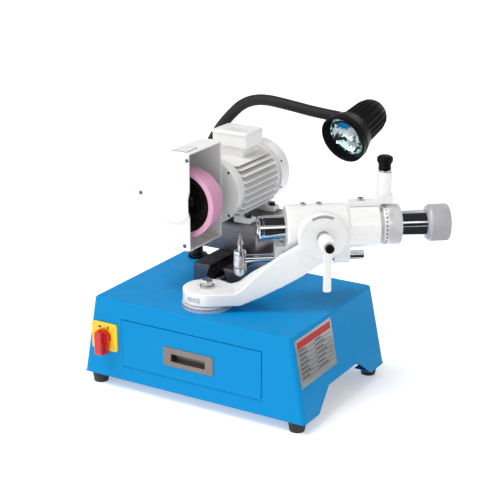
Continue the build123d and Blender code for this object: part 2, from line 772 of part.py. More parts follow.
finger_origin = swivel + along * FINGER_S
finger_side = Plane(origin=finger_origin, x_dir=along, z_dir=aside)
finger_axis = Axis(finger_origin, (0, 0, 1))
save(
    turned(
        finger_side,
        finger_axis,
        (0, 226),
        (3, 226),
        (3, 262.4),
        (10.5, 262.4),
        (10.5, 268),
        (3.5, 270),
        (3.5, 278),
        (6, 279.5),
        (0.5, FINGER_TIP),
        (0, FINGER_TIP),
    ),
    "finger_pointer",
)

with BuildPart() as finger_block:
    with BuildSketch(arm_plan.offset(239)):
        with Locations((FINGER_S, 0)):
            Circle(11)
    extrude(amount=23)
    with BuildSketch(across(FINGER_S - 20, ROD_Z)):
        Circle(ROD_R)
    extrude(amount=40, mode=Mode.SUBTRACT)
    with BuildSketch(arm_plan.offset(230)):
        with Locations((FINGER_S, 0)):
            Circle(3 + FIT)
    extrude(amount=40, mode=Mode.SUBTRACT)
save(finger_block.part, "finger_block")

save(
    turned(
        finger_side,
        finger_axis,
        (3, 238.7),
        (10.5, 238.7),
        (11, 237),
        (11, 230),
        (9, 225),
        (5, 221.5),
        (0, 221),
        (0, 226),
        (3, 226),
    ),
    "finger_nut",
)

# ---- feed slide -----------------------------------------------------------------
UNDERCUT = 8.0
DOVETAIL_LOW = 196.0
GAP = 0.3
GIB = 3.0
TABLE_LOW = BASE_TOP + GAP
TONGUE_BACK = 129.0
with BuildPart() as slide_base:
    with BuildSketch(looking_out(BASE_BACK, 0, 0)):
        with BuildLine():
            Polyline(
                (BASE_LEFT, CABINET_TOP),
                (BASE_LEFT, BASE_TOP),
                (GROOVE_X - GROOVE_HALF, BASE_TOP),
                (GROOVE_X - GROOVE_HALF - UNDERCUT, DOVETAIL_LOW),
                (GROOVE_X - GROOVE_HALF, DOVETAIL_LOW - 2),
                (GROOVE_X - GROOVE_HALF, SCREW_Z - 11),
                (GROOVE_X + GROOVE_HALF, SCREW_Z - 11),
                (GROOVE_X + GROOVE_HALF, DOVETAIL_LOW - 2),
                (GROOVE_X + GROOVE_HALF + UNDERCUT, DOVETAIL_LOW),
                (GROOVE_X + GROOVE_HALF, BASE_TOP),
                (BASE_RIGHT, BASE_TOP),
                (BASE_RIGHT, CABINET_TOP),
                close=True,
            )
        make_face()
    extrude(amount=BASE_BACK - BASE_FRONT)
save(slide_base.part, "slide_base")

with BuildPart() as slide_table:
    with BuildSketch(Plane.XY.offset(TABLE_LOW)):
        with Locations(((TABLE_LEFT + TABLE_RIGHT) / 2, (TABLE_FRONT + TABLE_BACK) / 2)):
            Rectangle(TABLE_RIGHT - TABLE_LEFT, TABLE_BACK - TABLE_FRONT)
    extrude(amount=TABLE_TOP - TABLE_LOW)
    # dovetail tongue
    with BuildSketch(looking_out(TONGUE_BACK, 0, 0)):
        with BuildLine():
            Polyline(
                (GROOVE_X - GROOVE_HALF + GAP, TABLE_LOW),
                (GROOVE_X - GROOVE_HALF - UNDERCUT + 2 * GAP, DOVETAIL_LOW + GAP),
                (GROOVE_X + GROOVE_HALF + UNDERCUT - 2 * GAP - GIB, DOVETAIL_LOW + GAP),
                (GROOVE_X + GROOVE_HALF - GAP - GIB, TABLE_LOW),
                close=True,
            )
        make_face()
    extrude(amount=TONGUE_BACK - TABLE_FRONT)
save(slide_table.part, "slide_table")

with BuildPart() as slide_gib:
    with BuildSketch(looking_out(TONGUE_BACK - 4, 0, 0)):
        with BuildLine():
            right = GROOVE_X + GROOVE_HALF
            Polyline(
                (right - GAP - GIB, TABLE_LOW),
                (right - GAP, TABLE_LOW),
                (right + UNDERCUT - 2 * GAP, DOVETAIL_LOW + GAP),
                (right + UNDERCUT - 2 * GAP - GIB, DOVETAIL_LOW + GAP),
                close=True,
            )
        make_face()
    extrude(amount=TONGUE_BACK - TABLE_FRONT - 8)
save(slide_gib.part, "slide_gib")

NUT_FRONT, NUT_BACK = 100.0, 124.0
with BuildPart() as feed_nut:
    with BuildSketch(looking_out(NUT_BACK, GROOVE_X, SCREW_Z)):
        Rectangle(22, 2 * (DOVETAIL_LOW + GAP - SCREW_Z))
        Circle(SCREW_R + FIT, mode=Mode.SUBTRACT)
    extrude(amount=NUT_BACK - NUT_FRONT)
save(feed_nut.part, "feed_nut")

with BuildPart() as screw_bearing_plate:
    with BuildSketch(looking_out(BASE_BACK + 6, GROOVE_X, (CABINET_TOP + BASE_TOP) / 2)):
        RectangleRounded(60, BASE_TOP - CABINET_TOP - 2, 3)
    extrude(amount=6)
    with BuildSketch(looking_out(BASE_BACK + 8, GROOVE_X, SCREW_Z)):
        Circle(SCREW_R + FIT)
    extrude(amount=12, mode=Mode.SUBTRACT)
save(screw_bearing_plate.part, "screw_bearing_plate")

HANDWHEEL_Y = BASE_BACK + 40
with BuildPart() as feed_screw:
    with BuildSketch(looking_out(HANDWHEEL_Y + 12, GROOVE_X, SCREW_Z)):
        Circle(SCREW_R)
    extrude(amount=HANDWHEEL_Y + 12 - BASE_FRONT - 6)
    with BuildSketch(looking_out(BASE_BACK - 0.5, GROOVE_X, SCREW_Z)):
        Circle(9)
    extrude(amount=6)
save(feed_screw.part, "feed_screw")

with BuildPart() as feed_handwheel:
    with BuildSketch(looking_out(HANDWHEEL_Y + 14, GROOVE_X, SCREW_Z)):
        Circle(26)
    extrude(amount=14)
    fillet(feed_handwheel.edges(), 3)
    with BuildSketch(looking_out(HANDWHEEL_Y, GROOVE_X, SCREW_Z)):
        Circle(12)
    extrude(amount=18)
    with BuildSketch(looking_out(HANDWHEEL_Y + 16, GROOVE_X, SCREW_Z)):
        Circle(SCREW_R)
    extrude(amount=60, mode=Mode.SUBTRACT)
save(feed_handwheel.part, "feed_handwheel")

# ---- motor ----------------------------------------------------------------------
FOOT_HALF, FOOT_FRONT, FOOT_REAR = 52.0, 75.0, 163.0
HOUSING_FRONT, HOUSING_REAR = 45.0, 186.0
BORE_R = 45.0
FIN_HEIGHTS = (6.0, 18.0, 30.0, 40.0, 47.0)
FIN_THICK = 3.5
with BuildPart() as motor_housing:
    with BuildSketch(facing(HOUSING_FRONT)):
        Circle(BARREL_R)
        for height in FIN_HEIGHTS:
            with Locations((0, height), (0, -height)):
                Rectangle(2 * math.sqrt(FIN_R**2 - height**2), FIN_THICK)
        Circle(BORE_R, mode=Mode.SUBTRACT)
    extrude(amount=HOUSING_REAR - HOUSING_FRONT)
    # pedestal for the terminal box
    with BuildSketch(Plane((MOTOR_X, 126, MOTOR_Z + BARREL_R - 3))):
        Rectangle(50, 46)
    extrude(amount=21)
    # two pairs of feet
    for y in (FOOT_FRONT, FOOT_REAR):
        for side in (-1, 1):
            with BuildSketch(facing(y - 12, MOTOR_X, 0)):
                with BuildLine():
                    Polyline(
                        (side * 30, FEET_Z),
                        (side * 63, FEET_Z),
                        (side * 63, FEET_Z + 10),
                        (side * 46, FEET_Z + 10),
                        (side * 44, MOTOR_Z - 30),
                        (side * 36, MOTOR_Z - 30),
                        close=True,
                    )
                make_face()
            extrude(amount=24)
    with BuildSketch(Plane((MOTOR_X, (FOOT_FRONT + FOOT_REAR) / 2, FEET_Z - 1))):
        with GridLocations(2 * (FOOT_HALF + 1), FOOT_REAR - FOOT_FRONT, 2, 2):
            Circle(3.6)
    extrude(amount=14, mode=Mode.SUBTRACT)
save(motor_housing.part, "motor_housing")

with BuildPart() as motor_foot_bolts:
    with BuildSketch(Plane((MOTOR_X, (FOOT_FRONT + FOOT_REAR) / 2, TABLE_TOP + 6))):
        with GridLocations(2 * (FOOT_HALF + 1), FOOT_REAR - FOOT_FRONT, 2, 2):
            Circle(3.5)
    extrude(amount=FEET_Z - TABLE_TOP + 6)
    with BuildSketch(Plane((MOTOR_X, (FOOT_FRONT + FOOT_REAR) / 2, FEET_Z + 10))):
        with GridLocations(2 * (FOOT_HALF + 1), FOOT_REAR - FOOT_FRONT, 2, 2):
            Circle(6)
    extrude(amount=6)
save(motor_foot_bolts.part, "motor_foot_bolts")

with BuildPart() as motor_plate:
    with BuildSketch(Plane.XY.offset(TABLE_TOP)):
        with Locations(((TABLE_LEFT + TABLE_RIGHT) / 2, (TABLE_FRONT + TABLE_BACK) / 2)):
            RectangleRounded(TABLE_RIGHT - TABLE_LEFT, TABLE_BACK - TABLE_FRONT, 1.5)
    extrude(amount=FEET_Z - TABLE_TOP)
    add(motor_foot_bolts.part, mode=Mode.SUBTRACT)
save(motor_plate.part, "motor_plate")

BEARING_R = 16.0
save(
    turned(
        motor_side,
        motor_axis,
        (22, SHAFT_R + 1.5),
        (22, 24),
        (28, 26),
        (28, FLANGE_R - 1),
        (29, FLANGE_R),
        (40, FLANGE_R),
        (45, FIN_R - 1),
        (HOUSING_FRONT, BORE_R),
        (34, BORE_R),
        (34, 20),
        (44, 20),
        (44, BEARING_R),
        (32, BEARING_R),
        (32, SHAFT_R + 1.5),
    ),
    "front_endshield",
)
save(
    turned(
        motor_side,
        motor_axis,
        (HOUSING_REAR, BORE_R),
        (HOUSING_REAR, FIN_R - 2),
        (HOUSING_REAR + 8, FIN_R - 2),
        (HOUSING_REAR + 10, FIN_R - 5),
        (HOUSING_REAR + 10, SHAFT_R + 1.5),
        (HOUSING_REAR + 5, SHAFT_R + 1.5),
        (HOUSING_REAR + 5, BEARING_R),
        (HOUSING_REAR - 6, BEARING_R),
        (HOUSING_REAR - 6, 20),
        (HOUSING_REAR + 3, 20),
        (HOUSING_REAR + 3, BORE_R),
    ),
    "rear_endshield",
)
COVER_REAR = 226.0
with BuildPart() as fan_cover:
    with BuildSketch(motor_side):
        with BuildLine():
            Polyline(
                (HOUSING_REAR + 1, FIN_R - 2),
                (HOUSING_REAR + 1, FLANGE_R),
                (COVER_REAR - 10, FLANGE_R),
                (COVER_REAR - 3, FLANGE_R - 4),
                (COVER_REAR, FLANGE_R - 11),
                (COVER_REAR, 0),
                (COVER_REAR - 1.6, 0),
                (COVER_REAR - 1.6, FLANGE_R - 12),
                (COVER_REAR - 4.2, FLANGE_R - 5.5),
                (COVER_REAR - 10.5, FLANGE_R - 1.8),
                (HOUSING_REAR + 10.5, FLANGE_R - 1.8),
                (HOUSING_REAR + 8, FIN_R - 2),
                close=True,
            )
        make_face()
    revolve(axis=motor_axis)
    # air slots in the back
    with BuildSketch(facing(COVER_REAR - 5)):
        with PolarLocations(31, 24):
            SlotOverall(24, 3.6)
    extrude(amount=10, mode=Mode.SUBTRACT)
save(fan_cover.part, "fan_cover")

BOX_LOW, BOX_HIGH = 405.0, 427.0
with BuildPart() as terminal_box:
    with BuildSketch(Plane((MOTOR_X, 126, BOX_LOW))):
        RectangleRounded(74, 58, 3)
    extrude(amount=BOX_HIGH - BOX_LOW)
    with BuildSketch(Plane((MOTOR_X, 126, BOX_LOW + 2.5))):
        RectangleRounded(69, 53, 2)
    extrude(amount=30, mode=Mode.SUBTRACT)
save(terminal_box.part, "terminal_box")

with BuildPart() as terminal_box_lid:
    with BuildSketch(Plane((MOTOR_X, 126, BOX_HIGH))):
        RectangleRounded(76, 60, 3)
    extrude(amount=6)
    fillet(terminal_box_lid.faces().sort_by(Axis.Z)[-1].edges(), 2)
    with BuildSketch(Plane((MOTOR_X, 126, BOX_HIGH + 6))):
        Circle(23)
    extrude(amount=2)
save(terminal_box_lid.part, "terminal_box_lid")

with BuildPart() as stator_core:
    with BuildSketch(facing(75)):
        Circle(BORE_R)
        Circle(28, mode=Mode.SUBTRACT)
    extrude(amount=80)
save(stator_core.part, "stator_core")

with BuildPart() as motor_bearings:
    for y in (32, HOUSING_REAR - 6):
        with BuildSketch(facing(y)):
            Circle(BEARING_R)
            Circle(SHAFT_R + FIT, mode=Mode.SUBTRACT)
        extrude(amount=11)
save(motor_bearings.part, "motor_bearings")

with BuildPart() as rotor:
    with BuildSketch(facing(-46)):
        Circle(SHAFT_R)
    extrude(amount=258)
    with BuildSketch(facing(75)):
        Circle(27.6)
    extrude(amount=80)
save(rotor.part, "rotor")

with BuildPart() as cooling_fan:
    with BuildSketch(facing(198)):
        Circle(44)
        Circle(SHAFT_R, mode=Mode.SUBTRACT)
    extrude(amount=2)
    with BuildSketch(facing(200)):
        with PolarLocations(30, 6):
            Rectangle(26, 2)
        Circle(13)
        Circle(SHAFT_R, mode=Mode.SUBTRACT)
    extrude(amount=12)
save(cooling_fan.part, "cooling_fan")

# ---- grinding wheel -------------------------------------------------------------
WEB, RIM = 12.0, 10.0
WEB_FRONT = WHEEL_BACK - WEB
save(
    turned(
        motor_side,
        motor_axis,
        (WHEEL_BACK, 12),
        (WHEEL_BACK, WHEEL_BACK_R),
        (WHEEL_FRONT, WHEEL_R),
        (WHEEL_FRONT, WHEEL_R - RIM),
        (WEB_FRONT, WHEEL_BACK_R - RIM - 4),
        (WEB_FRONT, 12),
    ),
    "grinding_wheel",
)
save(
    turned(
        motor_side,
        motor_axis,
        (21, SHAFT_R),
        (21, 14),
        (-6, 14),
        (WHEEL_BACK + 8, 24),
        (WHEEL_BACK, 24),
        (WHEEL_BACK, 12),
        (WEB_FRONT, 12),
        (WEB_FRONT, SHAFT_R),
    ),
    "wheel_hub",
)
save(
    turned(
        motor_side,
        motor_axis,
        (WEB_FRONT, SHAFT_R),
        (WEB_FRONT, 24),
        (WEB_FRONT - 3, 26),
        (WEB_FRONT - 5, 24),
        (WEB_FRONT - 5, 12),
        (WEB_FRONT - 15, 12),
        (WEB_FRONT - 18, 9),
        (WEB_FRONT - 19, 0),
        (-46, 0),
        (-46, SHAFT_R),
    ),
    "wheel_nut",
)

# ---- wheel guard ----------------------------------------------------------------
GUARD_WALL = 2.5
with BuildPart() as guard_drum:
    with BuildSketch(facing(GUARD_FRONT + 2.7, GUARD_X, GUARD_Z)):
        Circle(GUARD_R)
        Circle(GUARD_R - GUARD_WALL, mode=Mode.SUBTRACT)
    extrude(amount=GUARD_BACK - GUARD_FRONT - 2.7)
    with BuildSketch(facing(GUARD_BACK - GUARD_WALL, GUARD_X, GUARD_Z)):
        Circle(GUARD_R)
    extrude(amount=GUARD_WALL)
    with BuildSketch(Plane.XZ.offset(-200)):
        with Locations((GUARD_CUT + 100, GUARD_Z)):
            Rectangle(200, 300)
    extrude(amount=400, mode=Mode.SUBTRACT)
    with BuildSketch(facing(GUARD_BACK - 10)):
        Circle(27)
    extrude(amount=20, mode=Mode.SUBTRACT)
save(guard_drum.part, "guard_drum")

with BuildPart() as guard_cover:
    with BuildSketch(guard_side):
        with BuildLine():
            Polyline(
                (GUARD_FRONT + 2.5, 0),
                (GUARD_FRONT + 2.5, GUARD_R),
                (GUARD_FRONT + 1.5, GUARD_R),
                (GUARD_FRONT, GUARD_R - 2),
                (GUARD_FRONT, 0),
                close=True,
            )
        make_face()
    revolve(axis=guard_axis)
    with BuildSketch(facing(GUARD_FRONT - 5, -76, 342)):
        Circle(34)
    with BuildSketch(facing(GUARD_FRONT + 0.5, -76, 342)):
        Circle(40)
    loft()
    with BuildSketch(facing(GUARD_FRONT - 3, -76, 342)):
        Circle(32)
    with BuildSketch(facing(GUARD_FRONT + 3, -76, 342)):
        Circle(38)
    loft(mode=Mode.SUBTRACT)
    with BuildSketch(Plane.XZ.offset(-200)):
        with Locations((GUARD_CUT + 100, GUARD_Z)):
            Rectangle(200, 300)
    extrude(amount=400, mode=Mode.SUBTRACT)
save(guard_cover.part, "guard_cover")

# ---- lamp -----------------------------------------------------------------------
aim = Vector(*LAMP_AIM).normalized()
lamp_origin = Vector(*LAMP_RIM)
lamp_side = Plane(origin=lamp_origin, x_dir=-aim, z_dir=aim.cross(Vector(0, 0, 1)).normalized())
lamp_axis = Axis(lamp_origin, -aim)
with BuildPart() as lamp_base:
    with BuildSketch(Plane((NECK_ROUTE[0][0], NECK_ROUTE[0][1], CABINET_TOP))):
        Circle(19)
    extrude(amount=6)
    chamfer(lamp_base.faces().sort_by(Axis.Z)[-1].edges(), 1.5)
    with BuildSketch(Plane((NECK_ROUTE[0][0], NECK_ROUTE[0][1], CABINET_TOP - 14))):
        Circle(6)
    extrude(amount=14)
save(lamp_base.part, "lamp_base")


def corner_radii(points):
    """Fillet radius at each inner corner: 0.45 of the shorter run over the half turn's tangent."""
    radii = []
    for before, at, after in zip(points, points[1:], points[2:]):
        run_in = Vector(*at) - Vector(*before)
        run_out = Vector(*after) - Vector(*at)
        half_turn = math.radians(run_in.get_angle(run_out)) / 2
        radii.append(0.45 * min(run_in.length, run_out.length) / math.tan(half_turn))
    return radii


neck_radii = corner_radii(NECK_ROUTE)
print("gooseneck radii", [round(radius) for radius in neck_radii])
with BuildPart() as gooseneck:
    with BuildLine():
        neck_path = FilletPolyline(*NECK_ROUTE, radius=neck_radii)
    with BuildSketch(Plane(origin=neck_path @ 0, z_dir=neck_path % 0)):
        Circle(NECK_R)
    sweep(path=neck_path)
print("gooseneck volume ratio", gooseneck.part.volume / (math.pi * NECK_R**2 * neck_path.length))
save(gooseneck.part, "gooseneck")

BODY_START = 34.0
lamp_shell = turned(
    lamp_side,
    lamp_axis,
    (BODY_START, 30),
    (BODY_START, 35),
    (84, 33),
    (100, 29),
    (LAMP_LENGTH, 18),
    (LAMP_LENGTH, 0),
    (LAMP_LENGTH - 3, 0),
    (LAMP_LENGTH - 3, 15),
    (97, 26),
    (82, 30),
)
# the boss turns on the end of the gooseneck
with BuildPart() as lamp_body:
    add(lamp_shell)
    with BuildSketch(Plane(origin=neck_path @ 1 + (neck_path % 1) * GAP, z_dir=neck_path % 1)):
        Circle(9)
    extrude(amount=8)
save(lamp_body.part, "lamp_body")
save(
    turned(
        lamp_side,
        lamp_axis,
        (0, 43.5),
        (0, 46),
        (14, 46),
        (BODY_START, 39),
        (BODY_START, 36),
        (13, 43),
    ),
    "lamp_bezel",
)
# halogen lamp: a faceted bowl and its capsule, sold as one piece
save(
    turned(
        lamp_side,
        lamp_axis,
        (16, 0),
        (18, 4),
        (30, 5.5),
        (38, 6.5),
        (40, 7),
        (34, 20.5),
        (22.5, 32.5),
        (12, 40.6),
        (5, 41.2),
        (5, 42.8),
        (13, 42.2),
        (24, 34),
        (36, 22),
        (42, 9),
        (60, 9),
        (60, 0),
    ),
    "halogen_lamp",
)
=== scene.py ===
"""Bench drill bit sharpener: the surfaces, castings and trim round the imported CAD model.

Blender works in metres. Lengths below are in millimetres unless they say otherwise,
and MM turns them into metres.
"""

import json
import math

import bmesh
import bpy
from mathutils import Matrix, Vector
from mathutils.bvhtree import BVHTree


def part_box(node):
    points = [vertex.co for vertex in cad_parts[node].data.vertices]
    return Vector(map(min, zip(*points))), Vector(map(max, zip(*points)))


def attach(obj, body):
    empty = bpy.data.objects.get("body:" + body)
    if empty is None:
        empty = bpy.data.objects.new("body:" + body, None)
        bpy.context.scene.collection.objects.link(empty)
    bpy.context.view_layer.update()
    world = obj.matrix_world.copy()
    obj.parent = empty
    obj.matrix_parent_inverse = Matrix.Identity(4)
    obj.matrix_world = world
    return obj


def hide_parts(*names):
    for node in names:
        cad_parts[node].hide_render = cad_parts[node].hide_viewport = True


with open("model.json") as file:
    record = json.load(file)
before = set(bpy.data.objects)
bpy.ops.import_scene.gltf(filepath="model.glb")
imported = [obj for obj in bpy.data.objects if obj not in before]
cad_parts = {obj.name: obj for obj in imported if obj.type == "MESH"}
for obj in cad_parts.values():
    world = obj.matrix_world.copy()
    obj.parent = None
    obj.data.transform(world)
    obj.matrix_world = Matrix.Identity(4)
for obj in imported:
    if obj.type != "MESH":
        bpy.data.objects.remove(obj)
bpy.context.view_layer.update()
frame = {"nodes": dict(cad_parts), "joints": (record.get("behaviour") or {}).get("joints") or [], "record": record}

MM = 0.001
joints = {joint["name"]: joint for joint in frame["joints"]}


def pivot(name):
    """A joint's point, in millimetres."""
    return Vector(joints[name]["pos_m"]) / MM


def axis_of(name):
    return Vector(joints[name]["axis"]).normalized()


def span(node):
    """A CAD node's lowest and highest corner, in millimetres."""
    low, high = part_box(node)
    return low / MM, high / MM


up = Vector((0, 0, 1))
along = axis_of("ring_turn")
aside = Vector((along.y, -along.x, 0))
swivel = pivot("arm_swivel")
swivel.z = 0


def arm_point(s, t, z):
    """s along the work spindle from the swivel, t to the operator's side, z up."""
    return swivel + along * s + aside * t + up * z


# ---- materials ------------------------------------------------------------------
def node(tree, kind, inputs=None, **settings):
    """Adds a shader node, sets it, and links or fills its inputs."""
    made = tree.nodes.new(kind)
    for key, value in settings.items():
        setattr(made, key, value)
    for key, value in (inputs or {}).items():
        if isinstance(value, bpy.types.NodeSocket):
            tree.links.new(value, made.inputs[key])
        else:
            made.inputs[key].default_value = value
    return made


def shade(colour, amount):
    return tuple(min(1.0, max(0.0, channel * amount)) for channel in colour[:3]) + (1.0,)


def surface(
    name,
    colour,
    rough,
    metal=0.0,
    coat=0.0,
    mottle=(12.0, 0.06),
    grain=(500.0, 0.05),
    edge=0.8,
    wear=0.0,
    worn=(0.5, 0.5, 0.5),
    spun=None,
    brushed=None,
    cells=None,
    dust=0.0,
    shine=0.5,
):
    """A finish with colour drift, roughness drift, fine relief, soft edges and edge wear.

    spun gives the axis of a turned part, for fine tool rings; brushed gives the
    stretch of a ground or brushed face; cells gives the size of bonded grains.
    """
    made = bpy.data.materials.new(name)
    made.use_nodes = True
    tree = made.node_tree
    tree.nodes.clear()
    place = node(tree, "ShaderNodeTexCoord").outputs["Object"]
    drift = node(tree, "ShaderNodeTexNoise", {"Vector": place, "Scale": mottle[0], "Detail": 4.0})
    tone = node(
        tree,
        "ShaderNodeMix",
        {
            0: drift.outputs["Fac"],
            6: shade(colour, 1 - mottle[1]),
            7: shade(colour, 1 + mottle[1]),
        },
        data_type="RGBA",
    ).outputs[2]
    fine = node(tree, "ShaderNodeTexNoise", {"Vector": place, "Scale": grain[0], "Detail": 3.0})
    relief = fine.outputs["Fac"]
    if spun is not None:
        length = node(tree, "ShaderNodeVectorMath", {0: place, 1: tuple(spun)}, operation="DOT_PRODUCT")
        rings = node(
            tree,
            "ShaderNodeTexNoise",
            {"W": length.outputs["Value"], "Scale": grain[0], "Detail": 2.0},
            noise_dimensions="1D",
        )
        relief = rings.outputs["Fac"]
    if brushed is not None:
        stretched = node(tree, "ShaderNodeMapping", {"Vector": place, "Scale": brushed})
        lines = node(
            tree,
            "ShaderNodeTexNoise",
            {"Vector": stretched.outputs["Vector"], "Scale": grain[0], "Detail": 3.0},
        )
        relief = lines.outputs["Fac"]
    if cells is not None:
        stones = node(tree, "ShaderNodeTexVoronoi", {"Vector": place, "Scale": cells})
        relief = stones.outputs["Distance"]
        sparkle = node(
            tree,
            "ShaderNodeMapRange",
            {"Value": stones.outputs["Distance"], 1: 0.0, 2: 0.8, 3: 1.10, 4: 0.80},
        )
        tone = node(
            tree,
            "ShaderNodeMix",
            {0: 1.0, 6: tone, 7: sparkle.outputs["Result"]},
            data_type="RGBA",
            blend_type="MULTIPLY",
        ).outputs[2]
    soft = node(tree, "ShaderNodeBevel", {"Radius": edge * MM}, samples=4)
    face = node(tree, "ShaderNodeNewGeometry")
    if wear > 0:
        bend = node(
            tree,
            "ShaderNodeVectorMath",
            {0: soft.outputs["Normal"], 1: face.outputs["Normal"]},
            operation="DOT_PRODUCT",
        )
        rim = node(
            tree, "ShaderNodeMapRange",
            {"Value": bend.outputs["Value"], 1: 0.99, 2: 0.80, 3: 0.0, 4: wear},
        )
        patchy = node(tree, "ShaderNodeTexNoise", {"Vector": place, "Scale": 70.0, "Detail": 4.0})
        broken = node(
            tree, "ShaderNodeMapRange",
            {"Value": patchy.outputs["Fac"], 1: 0.42, 2: 0.62, 3: 0.0, 4: 1.0},
        )
        where = node(
            tree,
            "ShaderNodeMath",
            {0: rim.outputs["Result"], 1: broken.outputs["Result"]},
            operation="MULTIPLY",
        )
        tone = node(
            tree, "ShaderNodeMix", {0: where.outputs[0], 6: tone, 7: shade(worn, 1.0)}, data_type="RGBA"
        ).outputs[2]
    if dust > 0:
        facing_up = node(tree, "ShaderNodeSeparateXYZ", {0: face.outputs["Normal"]})
        settled = node(
            tree, "ShaderNodeMapRange", {"Value": facing_up.outputs["Z"], 1: 0.6, 2: 1.0, 3: 0.0, 4: dust}
        )
        cloud = node(tree, "ShaderNodeTexNoise", {"Vector": place, "Scale": 25.0, "Detail": 6.0})
        amount = node(
            tree,
            "ShaderNodeMath",
            {0: settled.outputs["Result"], 1: cloud.outputs["Fac"]},
            operation="MULTIPLY",
        )
        tone = node(
            tree,
            "ShaderNodeMix",
            {0: amount.outputs[0], 6: tone, 7: (0.55, 0.53, 0.5, 1.0)},
            data_type="RGBA",
        ).outputs[2]
    gloss = node(
        tree,
        "ShaderNodeMapRange",
        {
            "Value": node(
                tree, "ShaderNodeTexNoise", {"Vector": place, "Scale": 45.0, "Detail": 5.0}
            ).outputs["Fac"],
            1: 0.3,
            2: 0.7,
            3: max(0.03, rough * 0.8),
            4: min(1.0, rough * 1.25),
        },
    )
    bump = node(
        tree,
        "ShaderNodeBump",
        {"Strength": grain[1], "Distance": 0.4 * MM, "Height": relief, "Normal": soft.outputs["Normal"]},
    )
    shader = node(
        tree,
        "ShaderNodeBsdfPrincipled",
        {
            "Base Color": tone,
            "Roughness": gloss.outputs["Result"],
            "Metallic": metal,
            "Coat Weight": coat,
            "Coat Roughness": 0.06,
            "Specular IOR Level": shine,
            "Normal": bump.outputs["Normal"],
        },
    )
    node(tree, "ShaderNodeOutputMaterial", {"Surface": shader.outputs[0]})
    return made


WHITE = (0.88, 0.88, 0.87)
STEEL = (0.62, 0.63, 0.65)
blue_paint = surface(
    "blue_paint", (0.0, 0.255, 0.59), 0.42, coat=0.0, grain=(420.0, 0.015), mottle=(5.0, 0.03),
    edge=1.2, shine=0.10,
)
white_paint = surface(
    "white_paint", WHITE, 0.26, coat=0.35, grain=(160.0, 0.10), mottle=(9.0, 0.03), edge=1.5,
    wear=0.15, worn=(0.55, 0.55, 0.53),
)
white_motor = surface(
    "white_motor", (0.86, 0.85, 0.84), 0.36, coat=0.15, grain=(700.0, 0.16), mottle=(18.0, 0.05),
    edge=0.9, wear=0.2, worn=(0.5, 0.5, 0.5), dust=0.15,
)
white_cover = surface(
    "white_cover", WHITE, 0.30, coat=0.15, grain=(380.0, 0.04), mottle=(7.0, 0.025), edge=1.6,
    wear=0.12, worn=(0.6, 0.6, 0.6),
)
black_rubber = surface(
    "black_rubber", (0.014, 0.014, 0.015), 0.62, grain=(1500.0, 0.2), edge=1.0, dust=0.12,
)
neck_rubber = surface(
    "neck_rubber", (0.012, 0.012, 0.013), 0.45, grain=(900.0, 0.12), mottle=(30.0, 0.2), edge=0.5,
    shine=0.35,
)
black_plastic = surface(
    "black_plastic", (0.004, 0.004, 0.005), 0.36, grain=(1200.0, 0.12), mottle=(25.0, 0.15),
    edge=0.7, wear=0.1, worn=(0.05, 0.05, 0.05), shine=0.12,
)
yellow_plastic = surface(
    "yellow_plastic", (0.90, 0.62, 0.01), 0.30, coat=0.2, grain=(1100.0, 0.06), edge=0.8, wear=0.2,
    worn=(0.95, 0.75, 0.25),
)
red_plastic = surface(
    "red_plastic", (0.60, 0.008, 0.010), 0.24, coat=0.3, grain=(1100.0, 0.05), edge=0.9, wear=0.2,
    worn=(0.85, 0.10, 0.08),
)
plate_aluminium = surface(
    "plate_aluminium", (0.66, 0.67, 0.68), 0.34, metal=0.85, grain=(260.0, 0.12),
    brushed=(1.0, 1.0, 14.0), edge=0.3,
)
pull_steel = surface(
    "pull_steel", (0.22, 0.19, 0.18), 0.30, metal=0.8, grain=(300.0, 0.08),
    brushed=(0.6, 6.0, 14.0), mottle=(20.0, 0.2), edge=0.8, wear=0.5, worn=(0.35, 0.33, 0.31),
)
zinc_steel = surface(
    "zinc_steel", (0.58, 0.58, 0.59), 0.30, metal=1.0, grain=(900.0, 0.10), mottle=(90.0, 0.12),
    edge=0.4,
)
black_steel = surface(
    "black_steel", (0.020, 0.019, 0.019), 0.30, metal=0.6, grain=(1000.0, 0.12), mottle=(60.0, 0.3),
    edge=0.4, wear=0.3, worn=(0.16, 0.16, 0.16),
)
core_steel = surface(
    "core_steel", (0.20, 0.20, 0.21), 0.5, metal=0.8, grain=(1500.0, 0.3), spun=(0, 1, 0), edge=0.3,
)
ground_iron = surface(
    "ground_iron", (0.17, 0.16, 0.165), 0.24, metal=0.9, grain=(260.0, 0.14),
    brushed=(9.0, 0.7, 9.0), mottle=(22.0, 0.3), edge=0.7, wear=0.6, worn=(0.30, 0.28, 0.26),
)
bronze = surface(
    "bronze", (0.45, 0.27, 0.10), 0.34, metal=0.9, grain=(900.0, 0.12), mottle=(40.0, 0.15),
    edge=0.5,
)
pink_abrasive = surface(
    "pink_abrasive", (0.85, 0.42, 0.62), 0.85, cells=1300.0, grain=(900.0, 0.55),
    mottle=(60.0, 0.08), edge=0.9, wear=0.3, worn=(0.95, 0.55, 0.70),
)
polished_upright = surface(
    "polished_upright", STEEL, 0.20, metal=1.0, grain=(1500.0, 0.07), spun=(0, 0, 1),
    mottle=(30.0, 0.05), edge=0.4,
)
polished_side = surface(
    "polished_side", STEEL, 0.18, metal=1.0, grain=(1600.0, 0.06), spun=aside, mottle=(30.0, 0.05),
    edge=0.4,
)
polished_motor = surface(
    "polished_motor", STEEL, 0.22, metal=1.0, grain=(1600.0, 0.07), spun=(0, 1, 0),
    mottle=(30.0, 0.05), edge=0.4,
)
chrome_steel = surface(
    "chrome_steel", (0.74, 0.76, 0.79), 0.07, metal=1.0, grain=(700.0, 0.012), spun=along,
    mottle=(25.0, 0.03), edge=0.5,
)
